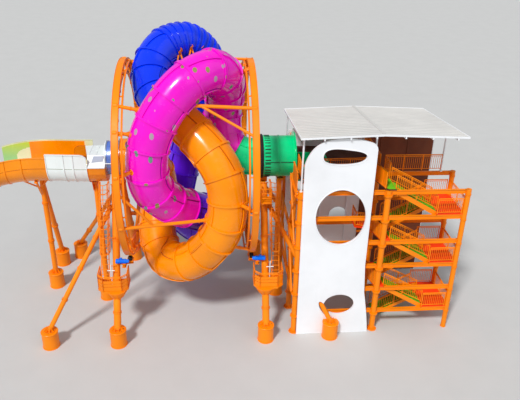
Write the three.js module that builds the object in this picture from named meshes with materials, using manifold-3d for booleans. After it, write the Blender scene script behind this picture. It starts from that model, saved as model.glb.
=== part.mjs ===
// Water slide tower: a turning slide wheel between two braced supports, its outlet trough,
// and the stair tower with a sculpted white front that leads to the wheel's inlet.
// Millimetres, +Z up. X runs along the wheel's axis, Y points to the back, the ground is Z = 0.
import * as THREE from 'three';
import { mergeVertices } from 'three/addons/utils/BufferGeometryUtils.js';
import Module from 'manifold-3d';

const wasm = await Module();
wasm.setup();

// Touching pieces keep this gap
const GAP = 0.3;
// Cutting tools run past the surface that they cut by this much
const PASS = 10;

// Driving dimensions of the wheel
const HUB_HEIGHT = 11550;
const RIM_RADIUS = 6710;
const RIM_DEPTH = 220;
const RIM_WIDTH = 420;
const RIM_X = 4130;
const RIM_SEGMENTS = 32;
const CHORD_RADIUS = 5780;
const CHORD_SECTION = 150;
const GUARD_CHORD_RADIUS = 6490;
const GUARD_CHORD_X = 3740;
const GUARD_CHORD_SECTION = 110;
const RIM_BAYS = 16;
const WEB_RADIUS = 60;
const ARM_RADIUS = 95;
const TIE_RADIUS = 75;
const TUBE_RADIUS = 1320;
const TUBE_WALL = 30;
const TUBE_SEGMENTS = 6;
const TUBE_STEP = 1050;
const HUB_END_X = 4650;

// Driving dimensions of the supports
const FOOTING_RADIUS = 575;
const FOOTING_HEIGHT = 1250;
// A leg leans from its footing towards the hub, from one Y value to another
const LEG = { x: 5060, foot: 5610, head: 1250, top: 10100, radius: 250 };
const RAKER_RADIUS = 165;
// Rakers as foot in X and Y, and head in X, Y and Z
const FRONT_RAKER = { foot: [9620, 5520], head: [5213, 1784, 9011] };
const BACK_RAKER = { foot: [9620, 6100], head: [5211, 1970, 8602] };
const ROLLER_ANGLE = 30;
const ROLLER_RADIUS = 200;
const ROLLER_WIDTH = 260;
const ROLLER_SEAT = { half: 200, reach: 300, depth: 200 };
const BRACKET = { width: 200, depth: 250, inner: 4360, outer: 4640, reach: 4100 };
const RUNNING_GAP = 6;
const MOTOR = { from: 4150, to: 5050, y: 3950, z: 5650, radius: 170, footHalf: 90, footInset: 20 };
const PLATFORM_LEVEL = 3900;
const PLATFORM = { inner: 4250, outer: 6250, back: 3500, front: 5000, corner: 400, thickness: 80, inset: 40 };
const PLATFORM_TAPER = { top: 740, bottom: 340, depth: 620 };
const LADDER = { from: 5500, to: 6000, ahead: 350, top: 10400, rung: 300, section: 50 };
const LADDER_BRACKETS = [5300, 7000, 8800];
const HUB_BEAM = { width: 250, bottom: 9560, top: 9900, end: 1400 };
const SADDLE = { inset: 100, outer: 5360, half: 500, drop: 800 };

// Driving dimensions of the inlet and the outlet on the wheel's axis
const SLEW_FACE = HUB_END_X + RUNNING_GAP;
const SLEW_END = 5020;
const SLEW_RADIUS = 1540;
const HUB_FLANGE = 75;
const BORE_RADIUS = TUBE_RADIUS - TUBE_WALL;
const DRUM_RADIUS = 1470;
const DRUM_END = 7240;
const OUTLET_DRUM_RADIUS = 1180;
const OUTLET_BORE_RADIUS = 1100;
const OUTLET_DRUM_END = 5610;
const DRUM_SIDES = 24;
const TROUGH = { radius: 1430, centre: 11330, top: 12320, wall: 60, start: 6776, seam: 9600, end: 13600 };
const TROUGH_SWAY = 1700;
const TROUGH_DROP = 1100;
const NEAR_LIP_DROP = 250;
const BOX = { base: 11400, top: 12100, halfTop: 880, wall: 60 };
const OUTLET_COLUMN_X = 6560;
const BOX_SEAT = { left: -6760, right: -6300, half: 450, below: 180 };
const DRUM_COLUMN_X = 6300;
const DRUM_SADDLE = { halfX: 250, halfY: 550, below: 120, above: 200 };
const PEDESTAL_RADIUS = 200;
const TROUGH_POST = { x: 10725, y: 1760, backX: 10900, backY: 4970, head: 9150, radius: 195 };
const TROUGH_CAP = { half: 125, front: 150, behind: 250, rise: 650 };

// Driving dimensions of the stair tower
const TOWER_X = [7122, 12813, 18137];
const TOWER_Y = [-4840, -1925, 3100];
const TOWER_COLUMN_RADIUS = 200;
const BEAM_DEPTH = 280;
const BEAM_WIDTH = 160;
const BRACE_RADIUS = 70;
const TOP_LEVEL = 11168;
const STOREYS = 6;
const STOREY = TOP_LEVEL / STOREYS;
const RISERS_PER_FLIGHT = 11;
const TREAD = 290;
const WAIST = 170;
const FLOOR_THICKNESS = 90;
const DECK_LEFT = 7300;
const DECK_RIGHT = 13300;
const DECK_FRONT = -3520;
const LOW_DECK_LEFT = 11300;
const DECK_INNER = -3000;
const MAIN_DECK_RIGHT = 13000;
const FLIGHT_WIDTH = 1310;
const GUARD_HEIGHT = 1150;
const GUARD_THICKNESS = 50;
const RAIL_SECTION = 50;
const RAIL_BAY = 1800;
// Where the rails of the top deck end: in X and Y beside the chamfer, in X over the landings, and in
// X and Y at the back
const RAIL_ENDS = [12180, -3240, 17000, 12960, 2650];
const TUB = { end: 9600, halfWidth: 1350, floor: HUB_HEIGHT - BORE_RADIUS, wall: 60, lip: 80 };
const PANEL_THICKNESS = 150;
const PANEL_CLEARANCE = 60;
// The front's edge and its top hole in X and Z. Each step is the end of a line, or the control points
// and the end of a curve.
const PANEL_EDGE = [[[7284, 0]], [[12400, 0]], [[12250, 1500], [11873, 3396]], [[11718, 5614]],
  [[11700, 14316]], [[10800, 14720], [9878, 14759]], [[8950, 14790], [8348, 14549]],
  [[7500, 14150], [7206, 13041]]];
const EYE = [[[8337, 13562]], [[8337, 14250], [9300, 14100], [10000, 13990]],
  [[10800, 13900], [11064, 13750], [11064, 13529]], [[11000, 13050], [10000, 13030], [9300, 13040]],
  [[8700, 13060], [8337, 13200], [8337, 13562]]];
// The front's large oval hole leans a little to the left, and the low hole is a plain oval
const EGG = { x: 9753, z: 9294, radiusX: 1635, radiusZ: 2006, skewX: 130, skewZ: 60, count: 20 };
const ARCH = [10160, 2450, 1060, 830];
const ARCH_COUNT = 16;
// The holes of the back panel as X, Z and radius
const BACK_HOLES = [[9000, 3300, 800], [11400, 5300, 700], [8900, 8000, 850], [11300, 9700, 650]];
const BACK_PANEL = { left: 7150, above: 1400 };
const BACK_PANEL_Y = TOWER_Y[2] - TOWER_COLUMN_RADIUS - GAP - PANEL_THICKNESS;
const ROOF = { left: 6850, ridge: 12000, right: 17320, front: -5390, back: 3300, frontZ: 14800, rise: 210 };
const ROOF_THICKNESS = 60;
const ROOF_FALL = 0.115;
// Roof posts as x, y and radius
const ROOF_POSTS = [[TOWER_X[0], TOWER_Y[0], 60], [8976, TOWER_Y[0], 45], [9800, TOWER_Y[0], 45],
  [10640, TOWER_Y[0], 45], [11650, TOWER_Y[0], 60], [17250, TOWER_Y[1], 60], [TOWER_X[0], TOWER_Y[2], 60],
  [TOWER_X[1], TOWER_Y[2], 60], [17250, TOWER_Y[2], 60]];

const vector = (x, y, z) => new THREE.Vector3(x, y, z);
const level = (number) => number * STOREY;

// Turns a closed three.js geometry into a solid, facing outwards
function solid(geometry) {
  const bare = geometry.clone();
  bare.deleteAttribute('normal');
  bare.deleteAttribute('uv');
  const merged = mergeVertices(bare, 0.01);
  const numbers = merged.attributes.position.array;
  const faces = Uint32Array.from(merged.index.array);
  const body = new wasm.Manifold(new wasm.Mesh({ numProp: 3, vertProperties: numbers, triVerts: faces }));
  if (body.volume() > 0) return body;
  for (let i = 0; i < faces.length; i += 3) [faces[i], faces[i + 1]] = [faces[i + 1], faces[i]];
  return new wasm.Manifold(new wasm.Mesh({ numProp: 3, vertProperties: numbers, triVerts: faces }));
}

function join(...geometries) {
  return geometries.flat().map((piece) => (piece.isBufferGeometry ? solid(piece) : piece))
    .reduce((all, piece) => all.add(piece));
}

function cut(body, ...tools) {
  return tools.flat().reduce((rest, tool) => rest.subtract(tool.isBufferGeometry ? solid(tool) : tool),
    body.isBufferGeometry ? solid(body) : body);
}

// Makes a named mesh from a solid or a plain geometry
function piece(name, body, colour, finish = {}) {
  let geometry = body;
  if (!body.isBufferGeometry) {
    const mesh = body.getMesh();
    geometry = new THREE.BufferGeometry();
    geometry.setAttribute('position', new THREE.BufferAttribute(mesh.vertProperties, 3));
    geometry.setIndex(new THREE.BufferAttribute(mesh.triVerts, 1));
  }
  const look = { color: colour, roughness: 0.35, metalness: 0, ...finish };
  const material = new THREE.MeshStandardMaterial(look);
  const mesh = new THREE.Mesh(geometry, material);
  mesh.name = name;
  return mesh;
}

// A box between two opposite corners
function block(low, high) {
  const size = high.map((value, i) => value - low[i]);
  return new THREE.BoxGeometry(...size).translate(...low.map((value, i) => value + size[i] / 2));
}

// A round bar between two points
function bar(from, to, radius, sides = 6) {
  const along = to.clone().sub(from);
  const turn = new THREE.Quaternion().setFromUnitVectors(vector(0, 1, 0), along.clone().normalize());
  const middle = from.clone().add(to).multiplyScalar(0.5);
  return new THREE.CylinderGeometry(radius, radius, along.length(), sides)
    .applyQuaternion(turn).translate(middle.x, middle.y, middle.z);
}

// A square bar between two points, with its sides upright
function beam(from, to, width, depth) {
  const along = to.clone().sub(from);
  const frame = new THREE.Matrix4().lookAt(vector(0, 0, 0), along, vector(0, 0, 1));
  const middle = from.clone().add(to).multiplyScalar(0.5);
  return new THREE.BoxGeometry(width, depth, along.length()).applyMatrix4(frame)
    .translate(middle.x, middle.y, middle.z);
}

// A flat plate with an outline in X and Z, cut through by holes, between two Y values
function uprightPlate(outline, holes, front, back) {
  const shape = new THREE.Shape(outline);
  shape.holes = holes.map((points) => new THREE.Path(points));
  return new THREE.ExtrudeGeometry(shape, { depth: back - front, bevelEnabled: false })
    .rotateX(Math.PI / 2).translate(0, back, 0);
}

// A floor plate with an outline in X and Y
function floorPlate(outline, top, thickness) {
  return new THREE.ExtrudeGeometry(new THREE.Shape(outline), { depth: thickness, bevelEnabled: false })
    .translate(0, 0, top - thickness);
}

// A body turned about the X axis from a closed outline of [x, radius] points
function turned(outline, segments) {
  const points = [...outline, outline[0]].map(([x, radius]) => new THREE.Vector2(radius, x));
  return new THREE.LatheGeometry(points, segments).rotateZ(-Math.PI / 2);
}

function ovalPoints(centreX, centreZ, radiusX, radiusZ, count) {
  return Array.from({ length: count }, (_, i) => {
    const angle = (i / count) * 2 * Math.PI;
    return new THREE.Vector2(centreX + radiusX * Math.cos(angle), centreZ + radiusZ * Math.sin(angle));
  });
}

// The slide's centre line from the middle of its back run to the outlet hub, measured from the
// hub's centre. The other half is the same run turned half a turn about the Y axis.
const HALF_ROUTE = [
  [0, 5060, 0], [830, 4900, 3190], [1160, 4020, 5830], [-110, 3300, 7150], [-1600, 2420, 6930],
  [-2370, 1160, 5780], [-2040, -500, 4510], [-440, -1870, 3250], [1270, -3300, 1870],
  [2260, -4240, 330], [2480, -4620, -1320], [2150, -4510, -3190], [1100, -4070, -5060],
  [-330, -3410, -6380], [-1710, -2370, -6660], [-2370, -990, -5720], [-2420, 390, -4290],
  [-2310, 960, -2860], [-2360, 600, -1650], [-2850, 230, -480], [-3960, 0, 0], [-HUB_END_X, 0, 0],
];

function slideRoute() {
  const second = HALF_ROUTE.map(([x, y, z]) => vector(x, y, z));
  const first = HALF_ROUTE.slice(1).map(([x, y, z]) => vector(-x, y, -z)).reverse();
  const route = new THREE.CatmullRomCurve3([...first, ...second], false, 'centripetal');
  route.arcLengthDivisions = 1500;
  return route;
}

// A stretch of the slide's centre line, between two distances along it. It stops short of the
// next stretch by the gap, and both stretches are square to the line at their seam.
class Stretch extends THREE.Curve {
  constructor(route, from, to) {
    super();
    this.route = route;
    this.whole = route.getLength();
    this.from = from;
    this.to = to;
  }

  share(part) {
    return Math.min(1, (this.from + part * (this.to - this.from)) / this.whole);
  }

  getTangent(part, target = new THREE.Vector3()) {
    return this.route.getTangentAt(this.share(part), target);
  }

  getPoint(part, target = new THREE.Vector3()) {
    this.route.getPointAt(this.share(part), target);
    return part < 1 ? target : target.addScaledVector(this.getTangent(1), -GAP);
  }
}

function roundSection(radius, bore) {
  const section = new THREE.Shape().absarc(0, 0, radius, 0, 2 * Math.PI);
  if (bore > 0) section.holes.push(new THREE.Path().absarc(0, 0, bore, 0, 2 * Math.PI, true));
  return section;
}

function tubeAlong(stretch, radius, bore) {
  const steps = Math.max(2, Math.round((stretch.to - stretch.from) / TUBE_STEP));
  return new THREE.ExtrudeGeometry(roundSection(radius, bore), {
    extrudePath: stretch, steps, curveSegments: TUBE_SEGMENTS, bevelEnabled: false,
  });
}

const ROUTE = slideRoute();
const ROUTE_LENGTH = ROUTE.getLength();
const STEEL_ORANGE = 0xff9a00;

// The sections of the slide, each named with the share of the route where it ends
const SLIDE_SECTIONS = [
  ['inlet_tube', 0.125, 0xff1edc], ['magenta_tube', 0.285, 0xff1edc], ['purple_tube', 0.375, 0x6e28f0],
  ['lower_back_tube', 0.5, 0x6e28f0], ['ribbed_blue_tube', 0.62, 0x0046ff], ['blue_tube', 0.7, 0x0046ff],
  ['orange_tube', 0.875, 0xffaa00], ['outlet_tube', 1, 0xffaa00],
];

function slideStretches() {
  let from = 0;
  return SLIDE_SECTIONS.map(([name, share, colour]) => {
    const stretch = new Stretch(ROUTE, from, share * ROUTE_LENGTH);
    from = stretch.to;
    return { name, colour, stretch };
  });
}

// Where arms run from a rim to the slide: the angle on the rim in degrees from straight up,
// positive to the back, and the point of the slide's centre line that the arm aims at
const LEFT_ARMS = [
  [11, [-2370, 1160, 5780]], [-40, [-1540, -4240, 4510]], [-55, [-2200, -4510, 3190]],
  [-78, [-2480, -4620, 1320]], [-109, [2310, -4570, -2420]], [-170, [-2370, -990, -5720]],
  [145, [-1160, 4020, -5830]],
];
const RIGHT_ARMS = [
  [169, [2370, 1160, -5780]], [-42, [-1100, -4070, 5060]], [-99, [2480, -4620, -990]],
  [-140, [1540, -4240, -4510]], [35, [1160, 4020, 5830]], [-10, [2370, -990, 5720]],
];
// A brace runs from a second angle on the rim to a share of the arm's length
const LEFT_BRACE = { arm: 4, angle: -86, share: 0.3 };
const RIGHT_BRACE = { arm: 1, angle: -58, share: 0.62 };

function onRim(angle, x, radius) {
  const turn = THREE.MathUtils.degToRad(angle);
  return vector(x, radius * Math.sin(turn), radius * Math.cos(turn));
}

function chordRing(x, radius, section) {
  const half = section / 2;
  return turned([[x - half, radius - half], [x + half, radius - half], [x + half, radius + half],
    [x - half, radius + half]], RIM_BAYS * 2);
}

// A rim with its inner chord and web, its inboard chord, and the arms that hold the slide
function rimBody(side, arms, brace) {
  const x = side * RIM_X;
  const inside = RIM_RADIUS - RIM_DEPTH;
  const band = turned([[x - RIM_WIDTH / 2, inside], [x + RIM_WIDTH / 2, inside],
    [x + RIM_WIDTH / 2, RIM_RADIUS], [x - RIM_WIDTH / 2, RIM_RADIUS]], RIM_SEGMENTS);
  const middle = RIM_RADIUS - RIM_DEPTH / 2;
  const bars = [chordRing(x, CHORD_RADIUS, CHORD_SECTION),
    chordRing(side * GUARD_CHORD_X, GUARD_CHORD_RADIUS, GUARD_CHORD_SECTION)];
  for (let bay = 0; bay < RIM_BAYS; bay += 1) {
    const angle = (bay * 360) / RIM_BAYS;
    const half = 180 / RIM_BAYS;
    bars.push(bar(onRim(angle, x, CHORD_RADIUS), onRim(angle + half, x, middle), WEB_RADIUS, 4));
    bars.push(bar(onRim(angle + half, x, middle), onRim(angle + 2 * half, x, CHORD_RADIUS), WEB_RADIUS, 4));
    bars.push(bar(onRim(angle + half, x, middle),
      onRim(angle + half, side * GUARD_CHORD_X, GUARD_CHORD_RADIUS), WEB_RADIUS, 4));
  }
  const aims = arms.map(([angle, aim]) => [onRim(angle, x, middle), vector(...aim)]);
  for (const [from, to] of aims) bars.push(bar(from, to, ARM_RADIUS));
  const [armFrom, armTo] = aims[brace.arm];
  bars.push(bar(onRim(brace.angle, x, middle), armFrom.clone().lerp(armTo, brace.share), WEB_RADIUS));
  return join(band, bars);
}

function wheelGroup() {
  const group = new THREE.Group();
  group.position.z = HUB_HEIGHT;
  const stretches = slideStretches();
  const room = stretches.map(({ stretch }) => solid(tubeAlong(stretch, TUBE_RADIUS + GAP, 0)));
  const steel = { roughness: 0.4 };
  group.add(piece('rim_left', cut(rimBody(-1, LEFT_ARMS, LEFT_BRACE), room), STEEL_ORANGE, steel));
  group.add(piece('rim_right', cut(rimBody(1, RIGHT_ARMS, RIGHT_BRACE), room), STEEL_ORANGE, steel));
  const reach = GUARD_CHORD_X - GUARD_CHORD_SECTION / 2 - GAP;
  for (const [name, angle] of [['tie_tube_upper', 86], ['tie_tube_lower', 94]]) {
    const from = onRim(angle, -reach, GUARD_CHORD_RADIUS);
    const to = onRim(angle, reach, GUARD_CHORD_RADIUS);
    group.add(piece(name, bar(from, to, TIE_RADIUS, 8), STEEL_ORANGE, steel));
  }
  for (const { name, colour, stretch } of stretches) {
    group.add(piece(name, tubeAlong(stretch, TUBE_RADIUS, BORE_RADIUS), colour, { roughness: 0.2 }));
  }
  return group;
}

// An upright round post from one height to another
function post(x, y, bottom, top, radius, sides = 8) {
  return bar(vector(x, y, bottom), vector(x, y, top), radius, sides);
}

// A round footing with the column or raker that is bolted to it
function footed(foot, head, radius) {
  const footing = post(foot[0], foot[1], 0, FOOTING_HEIGHT, FOOTING_RADIUS, 12);
  const base = vector(foot[0], foot[1], FOOTING_HEIGHT);
  const end = vector(...head);
  const buried = base.clone().add(base.clone().sub(end).setLength(radius));
  return join(footing, bar(buried, end, radius, 8));
}

// A drum about the wheel's axis on one side, given from its profile of [distance, radius]
const drum = (side, profile) => turned(profile.map(([x, radius]) => [side * x, radius]), DRUM_SIDES);

// The solid of a drum without its bore, with room around it
const drumRoom = (side, from, to, radius) => drum(side, [[from, 0], [to, 0], [to, radius + GAP],
  [from, radius + GAP]]);

const raised = (geometry) => geometry.translate(0, 0, HUB_HEIGHT);

// The distance of a leg's centre line from the wheel's middle plane at a height
const legY = (z) => LEG.foot + ((LEG.head - LEG.foot) * (z - FOOTING_HEIGHT)) / (LEG.top - FOOTING_HEIGHT);

const onLeg = (side, end, z) => vector(side * LEG.x, end * legY(z), z);

const legRoom = (side, end) => bar(onLeg(side, end, 0), onLeg(side, end, LEG.top + BEAM_DEPTH),
  LEG.radius + GAP, 8);

// The height of the seats that carry the rollers
const SEAT = HUB_HEIGHT - ROLLER_SEAT.half / 2
  - (RIM_RADIUS + RUNNING_GAP + ROLLER_RADIUS) * Math.cos(THREE.MathUtils.degToRad(ROLLER_ANGLE));

// A leg beside the rim, with the bracket, seat and roller that carry the rim
function rollerColumn(side, end) {
  const turn = THREE.MathUtils.degToRad(ROLLER_ANGLE);
  const axle = vector(side * RIM_X, end * (RIM_RADIUS + RUNNING_GAP + ROLLER_RADIUS) * Math.sin(turn),
    SEAT + ROLLER_SEAT.half / 2);
  const half = vector(ROLLER_WIDTH / 2, 0, 0);
  const { half: seatHalf, reach, depth } = ROLLER_SEAT;
  const rest = block([axle.x - seatHalf, axle.y - reach, SEAT - depth],
    [axle.x + seatHalf, axle.y + reach, SEAT]);
  const armZ = SEAT - BRACKET.depth / 2;
  const arm = beam(vector(axle.x, axle.y, armZ), onLeg(side, end, armZ), BRACKET.width, BRACKET.depth);
  const shelf = block([BRACKET.inner, Math.abs(axle.y), SEAT - BRACKET.depth],
    [BRACKET.outer, BRACKET.reach, SEAT]);
  shelf.scale(side, end, 1);
  const roller = bar(axle.clone().sub(half), axle.clone().add(half), ROLLER_RADIUS, 12);
  const leg = footed([side * LEG.x, end * LEG.foot], [side * LEG.x, end * LEG.head, LEG.top], LEG.radius);
  return join(leg, arm, shelf, rest, roller);
}

function rakerLine(side, end) {
  const { foot, head } = end < 0 ? FRONT_RAKER : BACK_RAKER;
  return { foot: [side * foot[0], end * foot[1]], head: [side * head[0], end * head[1], head[2]] };
}

// A raker that props a leg from outside
function raker(side, end) {
  const { foot, head } = rakerLine(side, end);
  return cut(footed(foot, head, RAKER_RADIUS), legRoom(side, end));
}

// A drive motor across the rim, standing on the roller's bracket
function driveMotor(side) {
  const { from, to, y, z, radius, footHalf, footInset } = MOTOR;
  const foot = block([BRACKET.inner + footInset, -y - footHalf, SEAT + GAP],
    [BRACKET.outer - footInset, -y + footHalf, z]);
  foot.scale(side, 1, 1);
  return join(bar(vector(side * from, -y, z), vector(side * to, -y, z), radius, 10), foot);
}

// Rails along a line of floor points: posts, a top rail and a middle rail
function railing(points, floor, height, spacing = RAIL_BAY) {
  const bars = [];
  const half = RAIL_SECTION * 0.6;
  points.slice(1).forEach((to, i) => {
    const from = points[i];
    const length = Math.hypot(to[0] - from[0], to[1] - from[1]);
    const bays = Math.max(1, Math.round(length / spacing));
    for (let bay = 0; bay <= bays; bay += 1) {
      const x = from[0] + ((to[0] - from[0]) * bay) / bays;
      const y = from[1] + ((to[1] - from[1]) * bay) / bays;
      bars.push(block([x - half, y - half, floor], [x + half, y + half, floor + height]));
    }
    for (const share of [0.5, 1]) {
      const z = floor + share * height - RAIL_SECTION;
      bars.push(beam(vector(...from, z), vector(...to, z), RAIL_SECTION, RAIL_SECTION));
    }
  });
  return join(bars);
}

// A platform around the front leg with a tapered underside and rails on three sides
function servicePlatform(side) {
  const { inner, outer, back, front, corner, thickness, inset } = PLATFORM;
  const outline = [[inner, back], [outer, back], [outer, front - corner], [outer - corner, front],
    [inner + corner, front], [inner, front - corner]];
  const points = outline.map(([x, y]) => new THREE.Vector2(side * x, -y));
  const floor = floorPlate(points, PLATFORM_LEVEL, thickness);
  const { top, bottom, depth } = PLATFORM_TAPER;
  const middle = PLATFORM_LEVEL - thickness - depth / 2;
  const taper = new THREE.CylinderGeometry(top, bottom, depth + GAP, 6).rotateX(Math.PI / 2)
    .translate(side * LEG.x, -legY(middle), middle);
  const edge = [[inner + inset, back + inset], [inner + inset, front - corner],
    [inner + corner, front - inset], [outer - corner, front - inset], [outer - inset, front - corner],
    [outer - inset, back + inset]].map(([x, y]) => [side * x, -y]);
  const rails = railing(edge, PLATFORM_LEVEL - inset, GUARD_HEIGHT);
  return cut(join(floor, taper, rails), legRoom(side, -1));
}

// A ladder from the service platform to the hub, parallel to the leg and held by short brackets
function ladder(side) {
  const { from, to, ahead, top, rung, section } = LADDER;
  const half = section / 2;
  const foot = PLATFORM_LEVEL + section;
  const y = (z) => -(legY(z) + ahead);
  const bars = [from, to].flatMap((x) => [
    beam(vector(x, y(foot), foot), vector(x, y(top), top), section, section),
    block([x - half, y(foot) - half, PLATFORM_LEVEL + GAP], [x + half, y(foot) + half, foot]),
  ]);
  for (let z = foot + rung; z < top; z += rung) {
    bars.push(block([from, y(z) - half / 2, z - half / 2], [to, y(z) + half / 2, z + half / 2]));
  }
  for (const z of LADDER_BRACKETS) {
    bars.push(block([LEG.x - half, y(z) - half, z - half], [from, y(z) + half, z + half]));
    bars.push(block([LEG.x - half, y(z), z - half], [LEG.x + half, y(z) + ahead, z + half]));
  }
  for (const geometry of bars) geometry.scale(side, 1, 1);
  return cut(join(bars), legRoom(side, -1));
}

// A beam between the heads of a side's two legs, with a saddle under the hub
function hubBeam(side, room) {
  const { width, bottom, top, end } = HUB_BEAM;
  const span = block([LEG.x - width / 2, -end, bottom], [LEG.x + width / 2, end, top]);
  const saddle = block([SLEW_FACE + SADDLE.inset, -SADDLE.half, top - SADDLE.inset],
    [SADDLE.outer, SADDLE.half, HUB_HEIGHT - SADDLE.drop]);
  for (const geometry of [span, saddle]) geometry.scale(side, 1, 1);
  return cut(join(span, saddle), legRoom(side, -1), legRoom(side, 1), room);
}

// The trough's section in Y and Z about its own centre, as a closed outline with a rim on each side
function troughSection(inside, outside, rim, nearRim = rim, steps = 10) {
  const arc = (radius, i) => new THREE.Vector2(-radius * Math.cos((i / steps) * Math.PI),
    -radius * Math.sin((i / steps) * Math.PI));
  const outer = Array.from({ length: steps + 1 }, (_, i) => arc(outside, i));
  if (inside === 0) {
    return [new THREE.Vector2(-outside, rim), ...outer, new THREE.Vector2(outside, nearRim)];
  }
  const inner = Array.from({ length: steps + 1 }, (_, i) => arc(inside, steps - i));
  return [new THREE.Vector2(-outside, rim), ...outer, new THREE.Vector2(outside, nearRim),
    new THREE.Vector2(inside, nearRim), ...inner, new THREE.Vector2(-inside, rim)];
}

// An outline in Y and Z drawn out along X between two distances to the left of the wheel
function drawnOut(outline, from, to, centre, steps = 1) {
  return new THREE.ExtrudeGeometry(new THREE.Shape(outline), { depth: to - from, steps, bevelEnabled: false })
    .rotateX(Math.PI / 2).rotateZ(-Math.PI / 2).translate(-from, 0, centre);
}

// The trough leaves the box level and straight, then sways back and falls along its run
function trough(from, to, section) {
  const geometry = drawnOut(section, from, to, TROUGH.centre, Math.round((to - from) / 700));
  const places = geometry.attributes.position;
  for (let i = 0; i < places.count; i += 1) {
    const share = THREE.MathUtils.clamp((-places.getX(i) - TROUGH.start) / (TROUGH.end - TROUGH.start), 0, 1);
    places.setY(i, places.getY(i) + TROUGH_SWAY * THREE.MathUtils.smoothstep(share, 0, 1));
    places.setZ(i, places.getZ(i) - TROUGH_DROP * share * share);
  }
  return geometry;
}

function outletGroup() {
  const group = new THREE.Group();
  const rim = TROUGH.top - TROUGH.centre;
  const shell = troughSection(TROUGH.radius - TROUGH.wall, TROUGH.radius, rim);
  const lowShell = troughSection(TROUGH.radius - TROUGH.wall, TROUGH.radius, rim, rim - NEAR_LIP_DROP);
  const full = troughSection(0, TROUGH.radius + GAP, rim);
  const stretches = [[TROUGH.start + GAP, TROUGH.seam], [TROUGH.seam + GAP, TROUGH.end]];
  group.add(piece('trough_upper', trough(...stretches[0], shell), 0xebf5f0));
  group.add(piece('trough_lower', trough(...stretches[1], lowShell), 0xffa500));

  const baseRim = BOX.base - TROUGH.centre;
  const mouth = raised(drumRoom(-1, OUTLET_DRUM_END - PASS, OUTLET_DRUM_END + 4 * BOX.wall,
    OUTLET_BORE_RADIUS - GAP));
  const endPlate = (outline, z) => drawnOut(outline, OUTLET_DRUM_END + GAP, OUTLET_DRUM_END + BOX.wall, z);
  const base = join(
    drawnOut(troughSection(TROUGH.radius - BOX.wall, TROUGH.radius, baseRim), OUTLET_DRUM_END + GAP,
      TROUGH.start, TROUGH.centre),
    endPlate(troughSection(0, TROUGH.radius, baseRim), TROUGH.centre));
  group.add(piece('outlet_box_base', cut(base, mouth), 0xff9600));
  const { wall, halfTop } = BOX;
  const side = TROUGH.radius;
  const height = BOX.top - BOX.base;
  const hood = (inset, low, high) => [[-side + inset, low], [-halfTop + inset / 2, high],
    [halfTop - inset / 2, high], [side - inset, low]].map(([y, z]) => new THREE.Vector2(y, z));
  const cover = cut(drawnOut(hood(0, GAP, height), OUTLET_DRUM_END + GAP, TROUGH.start, BOX.base),
    drawnOut(hood(wall, -PASS, height - wall), OUTLET_DRUM_END + wall, TROUGH.start + PASS, BOX.base));
  const below = drawnOut(hood(-halfTop, -PASS, height - wall), OUTLET_DRUM_END - PASS, TROUGH.start,
    BOX.base);
  const flange = raised(drum(-1, [[OUTLET_DRUM_END + GAP, 0], [OUTLET_DRUM_END + BOX.wall, 0],
    [OUTLET_DRUM_END + BOX.wall, OUTLET_DRUM_RADIUS], [OUTLET_DRUM_END + GAP, OUTLET_DRUM_RADIUS]]));
  const plate = cut(flange, block([-TROUGH.start, -side, 0], [0, side, BOX.base + GAP]));
  const hooded = cover.add(plate).subtract(solid(mouth).intersect(solid(below)));
  group.add(piece('outlet_box_cover', hooded, 0xebf5f0));

  const boxRoom = drawnOut(full, OUTLET_DRUM_END, TROUGH.start, TROUGH.centre);
  const pedestal = footed([-OUTLET_COLUMN_X, 0], [-OUTLET_COLUMN_X, 0, TROUGH.centre - TROUGH.radius / 2],
    PEDESTAL_RADIUS);
  const { left, right: seatRight, half, below: seatDepth } = BOX_SEAT;
  const seat = block([left, -half, TROUGH.centre - TROUGH.radius - seatDepth],
    [seatRight, half, TROUGH.centre - TROUGH.radius / 2]);
  const troughRoom = stretches.map(([from, to]) => trough(from, to, full));
  group.add(piece('outlet_column', cut(pedestal.add(solid(seat)), boxRoom, troughRoom), STEEL_ORANGE));

  const { x, y, backX, backY, head, radius } = TROUGH_POST;
  const { half: capHalf, front: capFront, behind, rise } = TROUGH_CAP;
  const bent = join(footed([-x, y], [-x, y, head + radius / 2], radius),
    footed([-backX, backY], [-x, y, head - radius], radius),
    block([-x - capHalf, capFront, head - capHalf], [-x + capHalf, y + behind, head + rise]));
  group.add(piece('trough_frame', cut(bent, troughRoom), STEEL_ORANGE));
  return group;
}

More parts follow.
